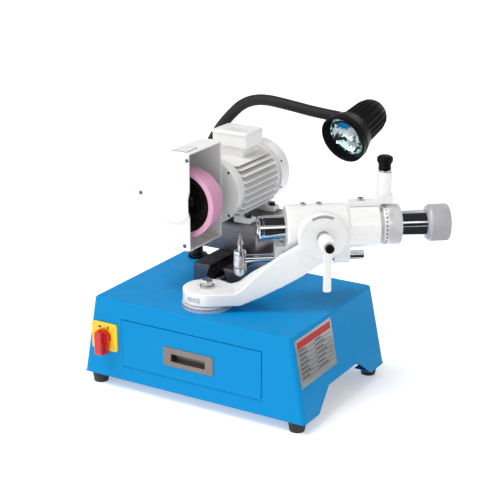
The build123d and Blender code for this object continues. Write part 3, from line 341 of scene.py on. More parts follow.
grey_knurl = surface(
    "grey_knurl", (0.52, 0.51, 0.545), 0.42, metal=0.3, grain=(900.0, 0.10), spun=along,
    mottle=(30.0, 0.06), edge=0.6, wear=0.4, worn=(0.6, 0.6, 0.62),
)
satin_ring = surface(
    "satin_ring", (0.80, 0.80, 0.81), 0.36, metal=0.4, grain=(1600.0, 0.06), spun=along,
    mottle=(30.0, 0.04), edge=0.5,
)
satin_scale = surface(
    "satin_scale", (0.74, 0.74, 0.75), 0.38, metal=0.4, grain=(1500.0, 0.06), spun=(0, 0, 1),
    mottle=(30.0, 0.04), edge=0.4,
)
ink_red = surface("ink_red", (0.50, 0.012, 0.015), 0.4, grain=(900.0, 0.05), mottle=(60.0, 0.1), edge=0.1)
ink_dark = surface(
    "ink_dark", (0.030, 0.033, 0.045), 0.45, grain=(900.0, 0.05), mottle=(60.0, 0.2), edge=0.1,
)
ink_grey = surface(
    "ink_grey", (0.50, 0.51, 0.53), 0.38, metal=0.3, grain=(900.0, 0.05), mottle=(60.0, 0.1),
    edge=0.1,
)
label_white = surface(
    "label_white", (0.80, 0.80, 0.82), 0.4, grain=(900.0, 0.04), mottle=(50.0, 0.04), edge=0.1,
)
screw_blue = surface(
    "screw_blue", (0.12, 0.20, 0.32), 0.3, metal=0.8, grain=(900.0, 0.08), mottle=(90.0, 0.15),
    edge=0.3,
)
reflector_glass = surface(
    "reflector_glass", (0.62, 0.80, 0.82), 0.10, metal=1.0, grain=(500.0, 0.02),
    mottle=(70.0, 0.14), edge=0.3,
)
amber_glass = surface(
    "amber_glass", (0.80, 0.42, 0.08), 0.15, coat=0.5, grain=(600.0, 0.03), mottle=(90.0, 0.2),
    edge=0.3,
)
clear_capsule = surface(
    "clear_capsule", (0.92, 0.92, 0.90), 0.08, coat=0.8, grain=(500.0, 0.02), mottle=(60.0, 0.04),
    edge=0.3,
)

finish_of_slot = {
    "blue_paint": blue_paint,
    "white_paint": white_paint,
    "white_motor": white_motor,
    "white_cover": white_cover,
    "black_rubber": black_rubber,
    "neck_rubber": neck_rubber,
    "black_plastic": black_plastic,
    "yellow_plastic": yellow_plastic,
    "red_plastic": red_plastic,
    "plate_aluminium": plate_aluminium,
    "pull_steel": pull_steel,
    "zinc_steel": zinc_steel,
    "polished_steel": polished_upright,
    "chrome_steel": chrome_steel,
    "black_steel": black_steel,
    "core_steel": core_steel,
    "grey_knurl": grey_knurl,
    "ground_iron": ground_iron,
    "bronze": bronze,
    "pink_abrasive": pink_abrasive,
    "lamp_glass": reflector_glass,
}
finish_of_node = {
    "index_ring": satin_ring,
    "swivel_scale_ring": satin_scale,
    "tilt_stud": polished_side,
    "motor_bearings": polished_motor,
}
for part in frame["record"]["subparts"]:
    name = part["node"]
    cad = frame["nodes"][name]
    cad.data.materials.clear()
    cad.data.materials.append(finish_of_node.get(name, finish_of_slot[part["material_slot"]]))


# Faces of the cup inside the edge of the grinding rim take the near-black rubber finish.
wheel = frame["nodes"]["grinding_wheel"]
wheel_low, wheel_high = span("grinding_wheel")
wheel_axis = pivot("wheel_spin")
CUP_RIM = 10.7
cup_radius = (wheel_high.z - wheel_low.z) / 2 - CUP_RIM
wheel.data.materials.append(black_rubber)
for each in wheel.data.polygons:
    centre = Vector(each.center) / MM - wheel_axis
    if math.hypot(centre.x, centre.z) < cup_radius:
        each.material_index = 1

# ---- mesh helpers ---------------------------------------------------------------
def side_axes(axis):
    """Two directions square to an axis and to each other."""
    guide = up if abs(axis.z) < 0.9 else Vector((0, 1, 0))
    first = guide.cross(axis).normalized()
    return first, axis.cross(first).normalized()


def put(name, mesh, body, finish, stands_for=(), bevel=0.0, angle=35.0):
    """Makes a piece from a bmesh in millimetres, lets it ride on a body and gives it a finish."""
    bmesh.ops.remove_doubles(mesh, verts=mesh.verts, dist=0.001)
    bmesh.ops.recalc_face_normals(mesh, faces=mesh.faces)
    limit = math.radians(angle)
    for each in mesh.faces:
        each.smooth = True
    for line in mesh.edges:
        if len(line.link_faces) == 2 and line.calc_face_angle(0.0) > limit:
            line.smooth = False
    bmesh.ops.scale(mesh, vec=(MM, MM, MM), verts=mesh.verts)
    data = bpy.data.meshes.new(name)
    mesh.to_mesh(data)
    mesh.free()
    data.materials.append(finish)
    made = bpy.data.objects.new(name, data)
    bpy.context.scene.collection.objects.link(made)
    if bevel > 0:
        rounding = made.modifiers.new("rounding", "BEVEL")
        rounding.width = bevel * MM
        rounding.segments = 3
        rounding.limit_method = "ANGLE"
        rounding.angle_limit = limit
        rounding.harden_normals = True
        for line in data.edges:
            line.use_edge_sharp = False
    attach(made, body)
    if stands_for:
        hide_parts(*stands_for)
    return made


def turned(mesh, profile, origin, axis, steps=96, closed=True, ripple=None):
    """Adds a turned shape: (length, radius) points spun round an axis."""
    first, second = side_axes(axis)
    rings = []
    for step in range(steps):
        turn = 2 * math.pi * step / steps
        out = first * math.cos(turn) + second * math.sin(turn)
        ring = []
        for length, radius in profile:
            if ripple and radius > 0:
                radius = ripple(turn, length, radius)
            ring.append(mesh.verts.new(origin + axis * length + out * radius))
        rings.append(ring)
    count = len(profile)
    for step in range(steps):
        here, there = rings[step], rings[(step + 1) % steps]
        for at in range(count if closed else count - 1):
            following = (at + 1) % count
            corners = (here[at], here[following], there[following], there[at])
            mesh.faces.new(corners)
    bmesh.ops.remove_doubles(mesh, verts=mesh.verts, dist=0.001)
    bmesh.ops.dissolve_degenerate(mesh, edges=mesh.edges, dist=0.0005)


def slab(mesh, outline, origin, right, ahead, depth):
    """Adds a prism: an outline in the plane of right and ahead, pushed along their normal."""
    lift = right.cross(ahead).normalized() * depth
    low = [mesh.verts.new(origin + right * x + ahead * y) for x, y in outline]
    high = [mesh.verts.new(each.co + lift) for each in low]
    mesh.faces.new(list(reversed(low)))
    mesh.faces.new(high)
    for at in range(len(low)):
        following = (at + 1) % len(low)
        mesh.faces.new((low[at], low[following], high[following], high[at]))


def rounded(width, height, radius, steps=5):
    """Outline of a rectangle with rounded corners, centred."""
    points = []
    for cx, cy, start in (
        (width / 2 - radius, height / 2 - radius, 0),
        (radius - width / 2, height / 2 - radius, 90),
        (radius - width / 2, radius - height / 2, 180),
        (width / 2 - radius, radius - height / 2, 270),
    ):
        for step in range(steps + 1):
            turn = math.radians(start + 90 * step / steps)
            points.append((cx + radius * math.cos(turn), cy + radius * math.sin(turn)))
    return points


def hexagon(turn, size):
    """Radius of a hexagon of that half width across its corners, at an angle."""
    part = (turn % (math.pi / 3)) - math.pi / 6
    return size * math.cos(math.pi / 6) / math.cos(part)


def cap_screw(mesh, centre, axis, radius, height):
    """A socket head screw: chamfer and hexagon socket."""
    socket = radius * 0.55

    def shape(turn, length, size):
        return hexagon(turn, socket) if size == socket else size

    turned(
        mesh,
        [
            (-0.4, 0),
            (-0.4, radius),
            (height * 0.85, radius),
            (height, radius * 0.9),
            (height, socket),
            (height * 0.35, socket),
            (height * 0.3, 0),
        ],
        centre,
        axis,
        48,
        closed=False,
        ripple=shape,
    )


def pan_screw(mesh, centre, axis, radius):
    """A domed screw head with a shallow round recess."""
    turned(
        mesh,
        [
            (-0.3, 0), (-0.3, radius), (0.3, radius), (radius * 0.4, radius * 0.75),
            (radius * 0.55, radius * 0.3), (radius * 0.25, radius * 0.22), (radius * 0.2, 0),
        ],
        centre,
        axis,
        28,
        closed=False,
    )


def cast(name, source, body, finish, voxel, passes, stands_for):
    """A casting: the CAD solids of some nodes joined, with their edges rounded off."""
    joined = bmesh.new()
    for each in source:
        joined.from_mesh(frame["nodes"][each].data)
    data = bpy.data.meshes.new(name)
    joined.to_mesh(data)
    joined.free()
    rough = bpy.data.objects.new(name + "_rough", data)
    bpy.context.scene.collection.objects.link(rough)
    blocks = rough.modifiers.new("blocks", "REMESH")
    blocks.mode = "VOXEL"
    blocks.voxel_size = voxel * MM
    ease = rough.modifiers.new("ease", "SMOOTH")
    ease.factor = 0.5
    ease.iterations = passes
    thin = rough.modifiers.new("thin", "DECIMATE")
    thin.ratio = 0.45
    graph = bpy.context.evaluated_depsgraph_get()
    final = bpy.data.meshes.new_from_object(rough.evaluated_get(graph))
    bpy.data.objects.remove(rough)
    final.name = name
    final.materials.clear()
    final.materials.append(finish)
    final.shade_smooth()
    made = bpy.data.objects.new(name, final)
    bpy.context.scene.collection.objects.link(made)
    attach(made, body)
    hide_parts(*stands_for)
    return made


# ---- castings -------------------------------------------------------------------
cast("arm_casting", ["swivel_arm"], "arm", white_paint, 1.3, 8, ["swivel_arm"])
cast("head_casting", ["spindle_head"], "head", white_paint, 1.1, 4, ["spindle_head"])
cast(
    "bracket_casting", ["index_bracket", "plunger_housing"], "head", white_paint,
    0.75, 9, ["index_bracket", "plunger_housing"],
)
cast("guard_shell", ["guard_drum"], "motor_carriage", white_cover, 1.0, 2, ["guard_drum"])
cast("guard_front", ["guard_cover"], "motor_carriage", white_cover, 0.9, 3, ["guard_cover"])

# ---- motor ----------------------------------------------------------------------
motor = pivot("wheel_spin")
motor.y = 0
back = Vector((0, 1, 0))
right = Vector((1, 0, 0))
housing_low, housing_high = span("motor_housing")
housing_front, housing_rear = housing_low.y, housing_high.y
barrel = bmesh.new()
turned(
    barrel,
    [
        (housing_front, 45),
        (housing_front, 57.5),
        (housing_front + 3, 58.5),
        (housing_front + 9, 58.5),
        (housing_front + 11, 56),
        (housing_front + 12, 50),
        (housing_rear - 9, 50),
        (housing_rear - 8, 57),
        (housing_rear, 57),
        (housing_rear, 45),
    ],
    motor,
    back,
    120,
)
put("motor_barrel", barrel, "motor_carriage", white_motor, ["motor_housing"], bevel=0.8)
fins = bmesh.new()
for height, reach, root, tip in (
    (6, 62.5, 2.6, 1.7),
    (18, 62, 2.6, 1.7),
    (30, 60, 2.6, 1.7),
    (40, 54, 1.8, 1.2),
    (47, 46, 1.6, 1.1),
):
    for level in (height, -height):
        for side in (-1, 1):
            inner = 36 if height < 35 else 12
            front, rear = housing_front + 5, housing_rear - 12
            lower, upper = [], []
            for distance, half in ((inner, root), (reach - 2, tip), (reach, tip * 0.5)):
                near = front if distance < reach else front + 2
                far = rear if distance < reach else rear - 4
                for group, offset in ((lower, -half), (upper, half)):
                    group.append(
                        (
                            motor + Vector((side * distance, near, level + offset)),
                            motor + Vector((side * distance, far, level + offset)),
                        )
                    )
            rows = [[fins.verts.new(point) for point in pair] for pair in lower + upper[::-1]]
            for at in range(len(rows)):
                following = (at + 1) % len(rows)
                fins.faces.new((rows[at][0], rows[following][0], rows[following][1], rows[at][1]))
            fins.faces.new([pair[0] for pair in reversed(rows)])
            fins.faces.new([pair[1] for pair in rows])
put("motor_fins", fins, "motor_carriage", white_motor, bevel=0.35)

bolt_low, bolt_high = span("motor_foot_bolts")
plate_top = span("motor_plate")[1].z
foot_rows = (bolt_low.y + 6, bolt_high.y - 6)
feet = bmesh.new()
for y in foot_rows:
    for side in (-1, 1):
        outline = [
            (side * 28, plate_top - motor.z),
            (side * 63, plate_top - motor.z),
            (side * 63, plate_top - motor.z + 9),
            (side * 47, plate_top - motor.z + 11),
            (side * 42, -36),
            (side * 44, -24),
            (side * 34, -24),
            (side * 30, -42),
        ]
        slab(feet, outline if side < 0 else outline[::-1], motor + Vector((0, y + 12, 0)), right, up, 24)
put("motor_feet", feet, "motor_carriage", white_motor, bevel=1.6)

box_low, box_high = span("terminal_box")
box_middle = (box_low + box_high) / 2
pedestal = bmesh.new()
slab(
    pedestal, rounded(52, 46, 6), Vector((box_middle.x, box_middle.y, motor.z + 46)), right, back,
    box_low.z - motor.z - 46,
)
for side in (-1, 1):
    turned(
        pedestal,
        [(0, 0), (0, 4), (14, 3.5), (14, 0)],
        Vector((box_middle.x + side * 25, box_middle.y + 12, box_low.z - 15)),
        up,
        24,
        closed=False,
    )
put("motor_pedestal", pedestal, "motor_carriage", white_motor, bevel=1.0)

lid_low, lid_high = span("terminal_box_lid")
lid = bmesh.new()
lid_width, lid_depth = lid_high.x - lid_low.x, lid_high.y - lid_low.y
edge_rows = []
outline = rounded(lid_width, lid_depth, 4, 6)
for inset, height in ((0, 0), (0, 4.5), (0.6, 5.6), (1.8, 6.3), (3.0, 6.5)):
    shrink_x, shrink_y = 1 - 2 * inset / lid_width, 1 - 2 * inset / lid_depth
    edge_rows.append(
        [
            lid.verts.new((box_middle.x + x * shrink_x, box_middle.y + y * shrink_y, lid_low.z + height))
            for x, y in outline
        ]
    )
for lower, upper in zip(edge_rows, edge_rows[1:]):
    for at in range(len(lower)):
        following = (at + 1) % len(lower)
        lid.faces.new((lower[at], lower[following], upper[following], upper[at]))
dish = []
for radius, height in ((23.5, 6.5), (22, 6.1), (19, 5.4), (12, 5.0)):
    ring = []
    for x, y in outline:
        turn = math.atan2(y, x)
        ring.append(
            lid.verts.new(
                (
                    box_middle.x + radius * math.cos(turn), box_middle.y + radius * math.sin(turn),
                    lid_low.z + height,
                )
            )
        )
    dish.append(ring)
for lower, upper in zip([edge_rows[-1]] + dish, dish):
    for at in range(len(lower)):
        following = (at + 1) % len(lower)
        lid.faces.new((lower[at], lower[following], upper[following], upper[at]))
lid.faces.new(dish[-1])
lid.faces.new(list(reversed(edge_rows[0])))
put("terminal_lid", lid, "motor_carriage", white_cover, ["terminal_box_lid"], angle=50)

shield_low = span("front_endshield")[0]
fixings = bmesh.new()
for turn in (45, 135, 225, 315):
    spread = Vector((math.cos(math.radians(turn)), 0, math.sin(math.radians(turn))))
    pan_screw(fixings, motor + spread * 56.5 + back * (shield_low.y + 6.3), -back, 2.6)
    pan_screw(fixings, motor + spread * 52 + back * (span("fan_cover")[1].y - 3.2), back, 2.4)
for turn in (25, 155, 205, 335):
    spread = Vector((math.cos(math.radians(turn)), 0, math.sin(math.radians(turn))))
    pan_screw(fixings, motor + spread * 60.3 + back * (housing_rear + 8), spread, 2.4)
put("motor_screws", fixings, "motor_carriage", black_steel)

# ---- wheel guard ----------------------------------------------------------------
cover_low = span("guard_cover")[0]
drum_low, drum_high = span("guard_drum")
guard_radius = (drum_high.z - drum_low.z) / 2
guard = Vector((drum_low.x + guard_radius, 0, (drum_low.z + drum_high.z) / 2))
cover = frame["nodes"]["guard_cover"].data
cover_skin = BVHTree.FromPolygons(
    [each.co for each in cover.vertices], [each.vertices for each in cover.polygons],
)
guard_screws = bmesh.new()
for x, z in ((15, 76), (-83, 5), (8, -79)):
    before_face = (guard + Vector((x, cover_low.y - 20, z))) * MM
    place = cover_skin.ray_cast(before_face, back)[0]
    if place is not None:
        pan_screw(guard_screws, place / MM, -back, 3.6)
put("guard_screws", guard_screws, "motor_carriage", screw_blue)
frame_line = bmesh.new()


def on_guard(across_guard, deep, lift):
    """A point on the drum's skin: arc length from the top, depth along the axis."""
    turn = across_guard / guard_radius
    out = Vector((math.sin(turn), 0, math.cos(turn)))
    return guard + out * (guard_radius + lift) + back * deep


def guard_patch(mesh, left, right_end, near, far, lift):
    """A thin curved sticker on the drum."""
    count = 8
    low, high = [], []
    for step in range(count + 1):
        at = left + (right_end - left) * step / count
        low.append([mesh.verts.new(on_guard(at, y, 0.05)) for y in (near, far)])
        high.append([mesh.verts.new(on_guard(at, y, lift)) for y in (near, far)])
    for step in range(count):
        mesh.faces.new((high[step][0], high[step][1], high[step + 1][1], high[step + 1][0]))
        mesh.faces.new((low[step][0], low[step + 1][0], low[step + 1][1], low[step][1]))
        for side in (0, 1):
            mesh.faces.new((low[step][side], high[step][side], high[step + 1][side], low[step + 1][side]))
    for step in (0, count):
        mesh.faces.new((low[step][0], low[step][1], high[step][1], high[step][0]))


guard_patch(frame_line, -20, 12, -74, -38, 0.25)
put("guard_label_frame", frame_line, "motor_carriage", ink_dark)
label_face = bmesh.new()
guard_patch(label_face, -18.6, 10.6, -72.6, -39.4, 0.4)
put("guard_label_face", label_face, "motor_carriage", label_white)

# ---- swivel ---------------------------------------------------------------------
ring_low, ring_high = span("swivel_scale_ring")
ring_radius = (ring_high.x - ring_low.x) / 2
ticks = bmesh.new()
for step in range(0, 91):
    turn = math.radians(-180 + 2 * step + 44)
    out = Vector((math.cos(turn), math.sin(turn), 0))
    tall = 5.6 if step % 5 == 0 else 3.4
    centre = Vector((swivel.x, swivel.y, ring_low.z + 7.4 - tall)) + out * (ring_radius - 0.2)
    sideways = up.cross(out)
    slab(ticks, [(-0.28, 0), (0.28, 0), (0.28, tall), (-0.28, tall)], centre, sideways, up, 0.32)
put("swivel_scale_ticks", ticks, "cabinet", ink_dark)
pointer = bmesh.new()
arm_low = span("swivel_arm")[0].z
front_out = Vector((math.cos(math.radians(-92)), math.sin(math.radians(-92)), 0))
slab(
    pointer,
    rounded(24, 8, 1.2),
    Vector((swivel.x, swivel.y, arm_low + 11.5)) + front_out * 42.3,
    up.cross(front_out),
    up,
    0.7,
)
put("swivel_label", pointer, "arm", ink_grey, bevel=0.15)

# ---- tilt scale on the arm's boss -----------------------------------------------
tilt = pivot("head_tilt")
spindle_z = tilt.z
tilt_centre = Vector((tilt.x, tilt.y, spindle_z))
tilt_centre -= aside * (tilt_centre - swivel).dot(aside)
BOSS_FACE = 61.0
arc = bmesh.new()
steps = 24
rows = []
for step in range(steps + 1):
    turn = math.radians(62 + 60 * step / steps)
    out = along * math.cos(turn) + up * math.sin(turn)
    rows.append(
        [
            arc.verts.new(tilt_centre + out * radius + aside * (BOSS_FACE + lift))
            for radius, lift in ((34.4, -0.4), (34.4, 0.4), (39.2, 0.4), (39.2, -0.4))
        ]
    )
for here, there in zip(rows, rows[1:]):
    for at in range(4):
        following = (at + 1) % 4
        arc.faces.new((here[at], here[following], there[following], there[at]))
arc.faces.new(list(reversed(rows[0])))
arc.faces.new(rows[-1])
put("tilt_scale", arc, "arm", ink_grey, bevel=0.12)
arc_ticks = bmesh.new()
for step in range(13):
    turn = math.radians(68 + 4 * step)
    out = along * math.cos(turn) + up * math.sin(turn)
    sideways = aside.cross(out)
    tall = 3.6 if step % 3 == 0 else 2.2
    slab(
        arc_ticks,
        [(-0.3, 0), (0.3, 0), (0.3, tall), (-0.3, tall)],
        tilt_centre + out * 35 + aside * (BOSS_FACE + 0.35),
        -sideways,
        out,
        0.15,
    )
put("tilt_scale_ticks", arc_ticks, "arm", ink_dark)

# ---- clamp lever ----------------------------------------------------------------
hub = bmesh.new()
turned(
    hub,
    [(75, 6.1), (75, 10.5), (77, 12), (84, 14), (112, 14), (115.5, 13), (117, 11), (117, 6.1)],
    tilt_centre,
    aside,
    64,
)
put("lever_hub", hub, "lever", white_paint, ["clamp_lever"], bevel=0.5)
reach = spindle_z - span("clamp_lever")[0].z
BLADE_T = 103
blade = bmesh.new()
sections = []
for down, half_width, half_thick in (
    (4, 9.5, 5.5),
    (14, 8.4, 5.2),
    (30, 7.2, 4.6),
    (60, 6.8, 4.2),
    (reach - 4, 7.2, 4.2),
    (reach - 1.4, 6.4, 3.4),
    (reach - 0.2, 3.6, 1.6),
):
    ring = []
    for x, y in rounded(2 * half_width, 2 * half_thick, half_thick * 0.75, 4):
        ring.append(blade.verts.new(tilt_centre + aside * (BLADE_T + y) + along * x - up * down))
    sections.append(ring)
for here, there in zip(sections, sections[1:]):
    for at in range(len(here)):
        following = (at + 1) % len(here)
        blade.faces.new((here[at], here[following], there[following], there[at]))
blade.faces.new(sections[0])
blade.faces.new(list(reversed(sections[-1])))
put("lever_blade", blade, "lever", white_paint, angle=60)

# ---- index ring, spindle, knobs -------------------------------------------------
ring_origin = arm_point(0, 0, spindle_z)
dial = bmesh.new()


def dial_knurl(turn, length, radius):
    """Straight knurl on the back half of the ring."""
    return radius - 0.45 * (0.5 + 0.5 * math.cos(turn * 90)) if 321 < length < 336 else radius


turned(
    dial,
    [
        (299.9, 22.6),
        (299.9, 28),
        (305, 28),
        (305, 34.4),
        (306, 35.4),
        (318.5, 35.4),
        (321.5, 35.4),
        (325, 35.4),
        (330, 35.4),
        (335.5, 35.4),
        (337, 34.2),
        (337, 22.6),
    ],
    ring_origin,
    along,
    360,
    ripple=dial_knurl,
)
put("index_dial", dial, "ring", satin_ring, ["index_ring"], angle=50)
HOLE_SHADE_S, LINES_S, MARK_COUNT = 309.5, 315.2, 60
marks = bmesh.new()
first, second = side_axes(along)
for step in range(MARK_COUNT):
    turn = 2 * math.pi * step / MARK_COUNT
    out = first * math.cos(turn) + second * math.sin(turn)
    sideways = along.cross(out)
    # Every other step gets a flat dark disc where an index hole sits: painted shade of the hole, not a recess.
    if step % 2 == 0:
        turned(
            marks, [(0, 0), (0, 1.5), (0.12, 1.5), (0.12, 0)],
            ring_origin + along * HOLE_SHADE_S + out * 35.35, out, 12, closed=False,
        )
    wide = 2.6 if step % 5 else 4.2
    slab(
        marks,
        [(-0.32, -wide / 2), (0.32, -wide / 2), (0.32, wide / 2), (-0.32, wide / 2)],
        ring_origin + along * LINES_S + out * 35.32,
        -sideways,
        along,
        0.12,
    )
# These marks hold the printed lines and the painted shade of the index holes.
put("index_marks_and_hole_shade", marks, "ring", ink_dark)

KNOB_FLUTES = 72
knob = bmesh.new()


def knob_knurl(turn, length, radius):
    """Straight flutes round the rim."""
    return radius - 0.55 * (0.5 + 0.5 * math.cos(turn * KNOB_FLUTES)) if 391 < length < 423 else radius


turned(
    knob,
    [
        (150, 0),
        (150, 8),
        (385, 8),
        (385, 27.5),
        (385.6, 29),
        (390.8, 32.4),
        (391.5, 32.7),
        (400, 32.7),
        (410, 32.7),
        (421, 32.7),
        (423.5, 31.6),
        (424.5, 29.5),
        (424.5, 12),
        (423, 11),
        (423, 0),
    ],
    ring_origin,
    along,
    288,
    closed=False,
    ripple=knob_knurl,
)
put("drawbar_wheel", knob, "drawbar", grey_knurl, ["drawbar_knob"], angle=50)

plunger_low, plunger_high = span("index_plunger")
plunger = Vector(((plunger_low.x + plunger_high.x) / 2, (plunger_low.y + plunger_high.y) / 2, 0))
housing_top = span("plunger_housing")[1].z
cap = bmesh.new()


def cap_grip(turn, length, radius):
    """Shallow grips round the knob's head."""
    gripped = length > housing_top + 15 and radius > 12
    return radius - 0.5 * (0.5 + 0.5 * math.cos(turn * 18)) if gripped else radius


turned(
    cap,
    [
        (housing_top + 2.4, 0),
        (housing_top + 2.4, 10.6),
        (housing_top + 3.2, 11.4),
        (housing_top + 12, 11.0),
        (housing_top + 15.2, 12.2),
        (housing_top + 17, 13.8),
        (housing_top + 19, 14),
        (housing_top + 23, 14),
        (housing_top + 25.6, 13),
        (housing_top + 27.4, 10),
        (housing_top + 28, 5),
        (housing_top + 28, 0),
    ],
    plunger,
    up,
    108,
    closed=False,
    ripple=cap_grip,
)
put("plunger_knob", cap, "plunger", black_plastic, ["index_plunger"], angle=50)
pin = bmesh.new()
turned(
    pin,
    [
        (plunger_low.z, 0),
        (plunger_low.z, 2),
        (plunger_low.z + 2.3, 4),
        (housing_top + 0.5, 4),
        (housing_top + 0.5, 9.6),
        (housing_top + 2.6, 9.6),
        (housing_top + 2.6, 0),
    ],
    plunger,
    up,
    48,
    closed=False,
)
put("plunger_pin", pin, "plunger", polished_upright, bevel=0.2)
spring_low, spring_high = span("plunger_spring")
coil = bmesh.new()
turns, per_turn = 6, 20
coil_rows = []
for step in range(turns * per_turn + 1):
    turn = 2 * math.pi * step / per_turn
    out = Vector((math.cos(turn), math.sin(turn), 0))
    height = spring_low.z + 1 + (spring_high.z - spring_low.z - 2) * step / (turns * per_turn)
    centre = plunger + out * 7.2 + up * height
    coil_rows.append(
        [
            coil.verts.new(centre + (out * math.cos(a) + up * math.sin(a)) * 0.8)
            for a in (0, 1.05, 2.1, 3.14, 4.19, 5.24)
        ]
    )
for here, there in zip(coil_rows, coil_rows[1:]):
    for at in range(6):
        following = (at + 1) % 6
        coil.faces.new((here[at], here[following], there[following], there[at]))
put("plunger_coil", coil, "head", zinc_steel, ["plunger_spring"])

# ---- finger rest ----------------------------------------------------------------
block_low, block_high = span("finger_block")
finger = Vector(((block_low.x + block_high.x) / 2, (block_low.y + block_high.y) / 2, 0))
grip = bmesh.new()


def grip_knurl(turn, length, radius):
    """Fine knurl on the block."""
    knurled = block_low.z + 2 < length < block_high.z - 2
    return radius - 0.4 * (0.5 + 0.5 * math.cos(turn * 36)) if knurled else radius


turned(
    grip,
    [
        (block_low.z, 0),
        (block_low.z, 10),
        (block_low.z + 1, 11),
        (block_low.z + 2.5, 11),
        (block_high.z - 2.5, 11),
        (block_high.z - 1, 11),
        (block_high.z, 10),
        (block_high.z, 0),
    ],
    finger,
    up,
    144,
    closed=False,
    ripple=grip_knurl,
)
put("finger_grip", grip, "finger_rest", polished_upright, ["finger_block"], angle=50)

# ---- cabinet trim ---------------------------------------------------------------
plate_faces = frame["nodes"]["nameplate"].data.polygons
outward = [each for each in plate_faces if each.normal.x > 0.7]
plate_out = Vector(max(outward, key=lambda each: each.area).normal).normalized()
plate_up = (up - plate_out * up.dot(plate_out)).normalized()
plate_right = plate_up.cross(plate_out)
plate_low, plate_high = span("nameplate")
plate_centre = (plate_low + plate_high) / 2
plate_half = (plate_high.y - plate_low.y) / 2
plate_tall = (plate_high.z - plate_low.z) / 2 / plate_up.z
surface_lift = 0.4


def on_plate(mesh, x0, y0, x1, y1, lift=0.12):
    """A printed patch on the nameplate, in millimetres from its centre."""
    slab(
        mesh,
        [(x0, y0), (x1, y0), (x1, y1), (x0, y1)],
        plate_centre + plate_out * surface_lift,
        plate_right,
        plate_up,
        lift,
    )


header = bmesh.new()
on_plate(header, -plate_half + 5, plate_tall - 17, plate_half - 5, plate_tall - 5)
put("nameplate_header", header, "cabinet", ink_red)
rules = bmesh.new()
for row in range(7):
    y = plate_tall - 24 - row * 8
    on_plate(rules, -plate_half + 6, y, plate_half - 6, y + 0.7)
    on_plate(rules, -plate_half + 8, y + 2.6, -plate_half + 30 + (row * 7) % 13, y + 4.8)
    on_plate(rules, 2, y + 2.6, 22 + (row * 11) % 17, y + 4.8)
on_plate(rules, -2, plate_tall - 72, -1.3, plate_tall - 20)
put("nameplate_rules", rules, "cabinet", ink_dark)
rivets = bmesh.new()
for x in (-1, 1):
    for y in (-1, 1):
        turned(
            rivets,
            [(0, 0), (0, 1.9), (0.5, 1.7), (0.9, 1.0), (1.0, 0)],
            plate_centre
            + plate_right * x * (plate_half - 3)
            + plate_up * y * (plate_tall - 2.6)
            + plate_out * surface_lift,
            plate_out,
            20,
            closed=False,
        )
put("nameplate_rivets", rivets, "cabinet", zinc_steel)

switch_low, switch_high = span("switch_plate")
switch_centre = (switch_low + switch_high) / 2
marks = bmesh.new()
for x in (-9, 9):
    slab(
        marks,
        rounded(6 if x < 0 else 3.2, 3.2 if x < 0 else 5.5, 0.8, 3),
        Vector((switch_centre.x + x, switch_low.y + 0.15, switch_high.z - 8)),
        right,
        up,
        0.4,
    )
put("switch_marks", marks, "cabinet", ink_dark)
switch_screws = bmesh.new()
for x in (-1, 1):
    for z in (-1, 1):
        pan_screw(
            switch_screws,
            Vector((switch_centre.x + x * 22, switch_low.y + 0.1, switch_centre.z + z * 20.5)),
            -back, 2.0,
        )
put("switch_screws", switch_screws, "cabinet", zinc_steel)

# ---- lamp -----------------------------------------------------------------------
NECK_ROUTE = [
    (-158, 122, 176),
    (-158, 122, 290),
    (-153, 140, 365),
    (-140, 170, 412),
    (-124, 184, 437),
    (-93, 184, 467),
    (-52, 184, 480),
    (8, 184, 474),
    (62, 190, 465),
    (105, 196, 461),
]
line = bpy.data.curves.new("neck_line", "CURVE")
line.dimensions = "3D"
line.resolution_u = 40
spline = line.splines.new("NURBS")
spline.points.add(len(NECK_ROUTE) - 1)
for point, place in zip(spline.points, NECK_ROUTE):
    point.co = (place[0], place[1], place[2], 1)
spline.order_u = 3
spline.use_endpoint_u = True
guide = bpy.data.objects.new("neck_guide", line)
bpy.context.scene.collection.objects.link(guide)
graph = bpy.context.evaluated_depsgraph_get()
traced = bpy.data.meshes.new_from_object(guide.evaluated_get(graph))
path = [each.co.copy() for each in traced.vertices]
bpy.data.objects.remove(guide)
lengths = [0.0]
for before, after in zip(path, path[1:]):
    lengths.append(lengths[-1] + (after - before).length)


def along_neck(distance):
    """Point and direction at a distance along the gooseneck."""
    at = 0
    while at < len(path) - 2 and lengths[at + 1] < distance:
        at += 1
    run = lengths[at + 1] - lengths[at]
    share = (distance - lengths[at]) / run if run else 0
    return path[at].lerp(path[at + 1], share), (path[at + 1] - path[at]).normalized()


NECK_R, NECK_PITCH, PER_RIB, NECK_SIDES = 10.4, 4.2, 4, 28
neck = bmesh.new()
rows = []
guide_side = Vector((0, 1, 0))
total = lengths[-1]
count = int(total / NECK_PITCH) * PER_RIB
for step in range(count + 1):
    place, heading = along_neck(total * step / count)
    guide_side = (guide_side - heading * guide_side.dot(heading)).normalized()
    other = heading.cross(guide_side)
    radius = NECK_R - (0.55 if step % PER_RIB == 0 else 0.12 if step % PER_RIB != 2 else 0.0)
    rows.append(
        [
            neck.verts.new(place + (guide_side * math.cos(a) + other * math.sin(a)) * radius)
            for a in (2 * math.pi * k / NECK_SIDES for k in range(NECK_SIDES))
        ]
    )
for here, there in zip(rows, rows[1:]):
    for at in range(NECK_SIDES):
        following = (at + 1) % NECK_SIDES
        neck.faces.new((here[at], here[following], there[following], there[at]))
neck.faces.new(list(reversed(rows[0])))
neck.faces.new(rows[-1])
put("lamp_neck", neck, "cabinet", neck_rubber, ["gooseneck"], angle=70)

rim = Vector((133, 150, 431.5))
aim = Vector((-0.18, -0.92, -0.34)).normalized()
neck_end, neck_heading = Vector(NECK_ROUTE[-1]), axis_of("lamp_turn")
body = bmesh.new()


def body_ribs(turn, length, radius):
    """Deep ribs that run along the lamp body."""
    if radius < 17 or length < 37 or length > 107:
        return radius
    depth = 2.6 * min(1.0, (length - 36) / 6, (108 - length) / 8)
    return radius - depth * (0.5 + 0.5 * math.cos(turn * 22)) ** 0.6


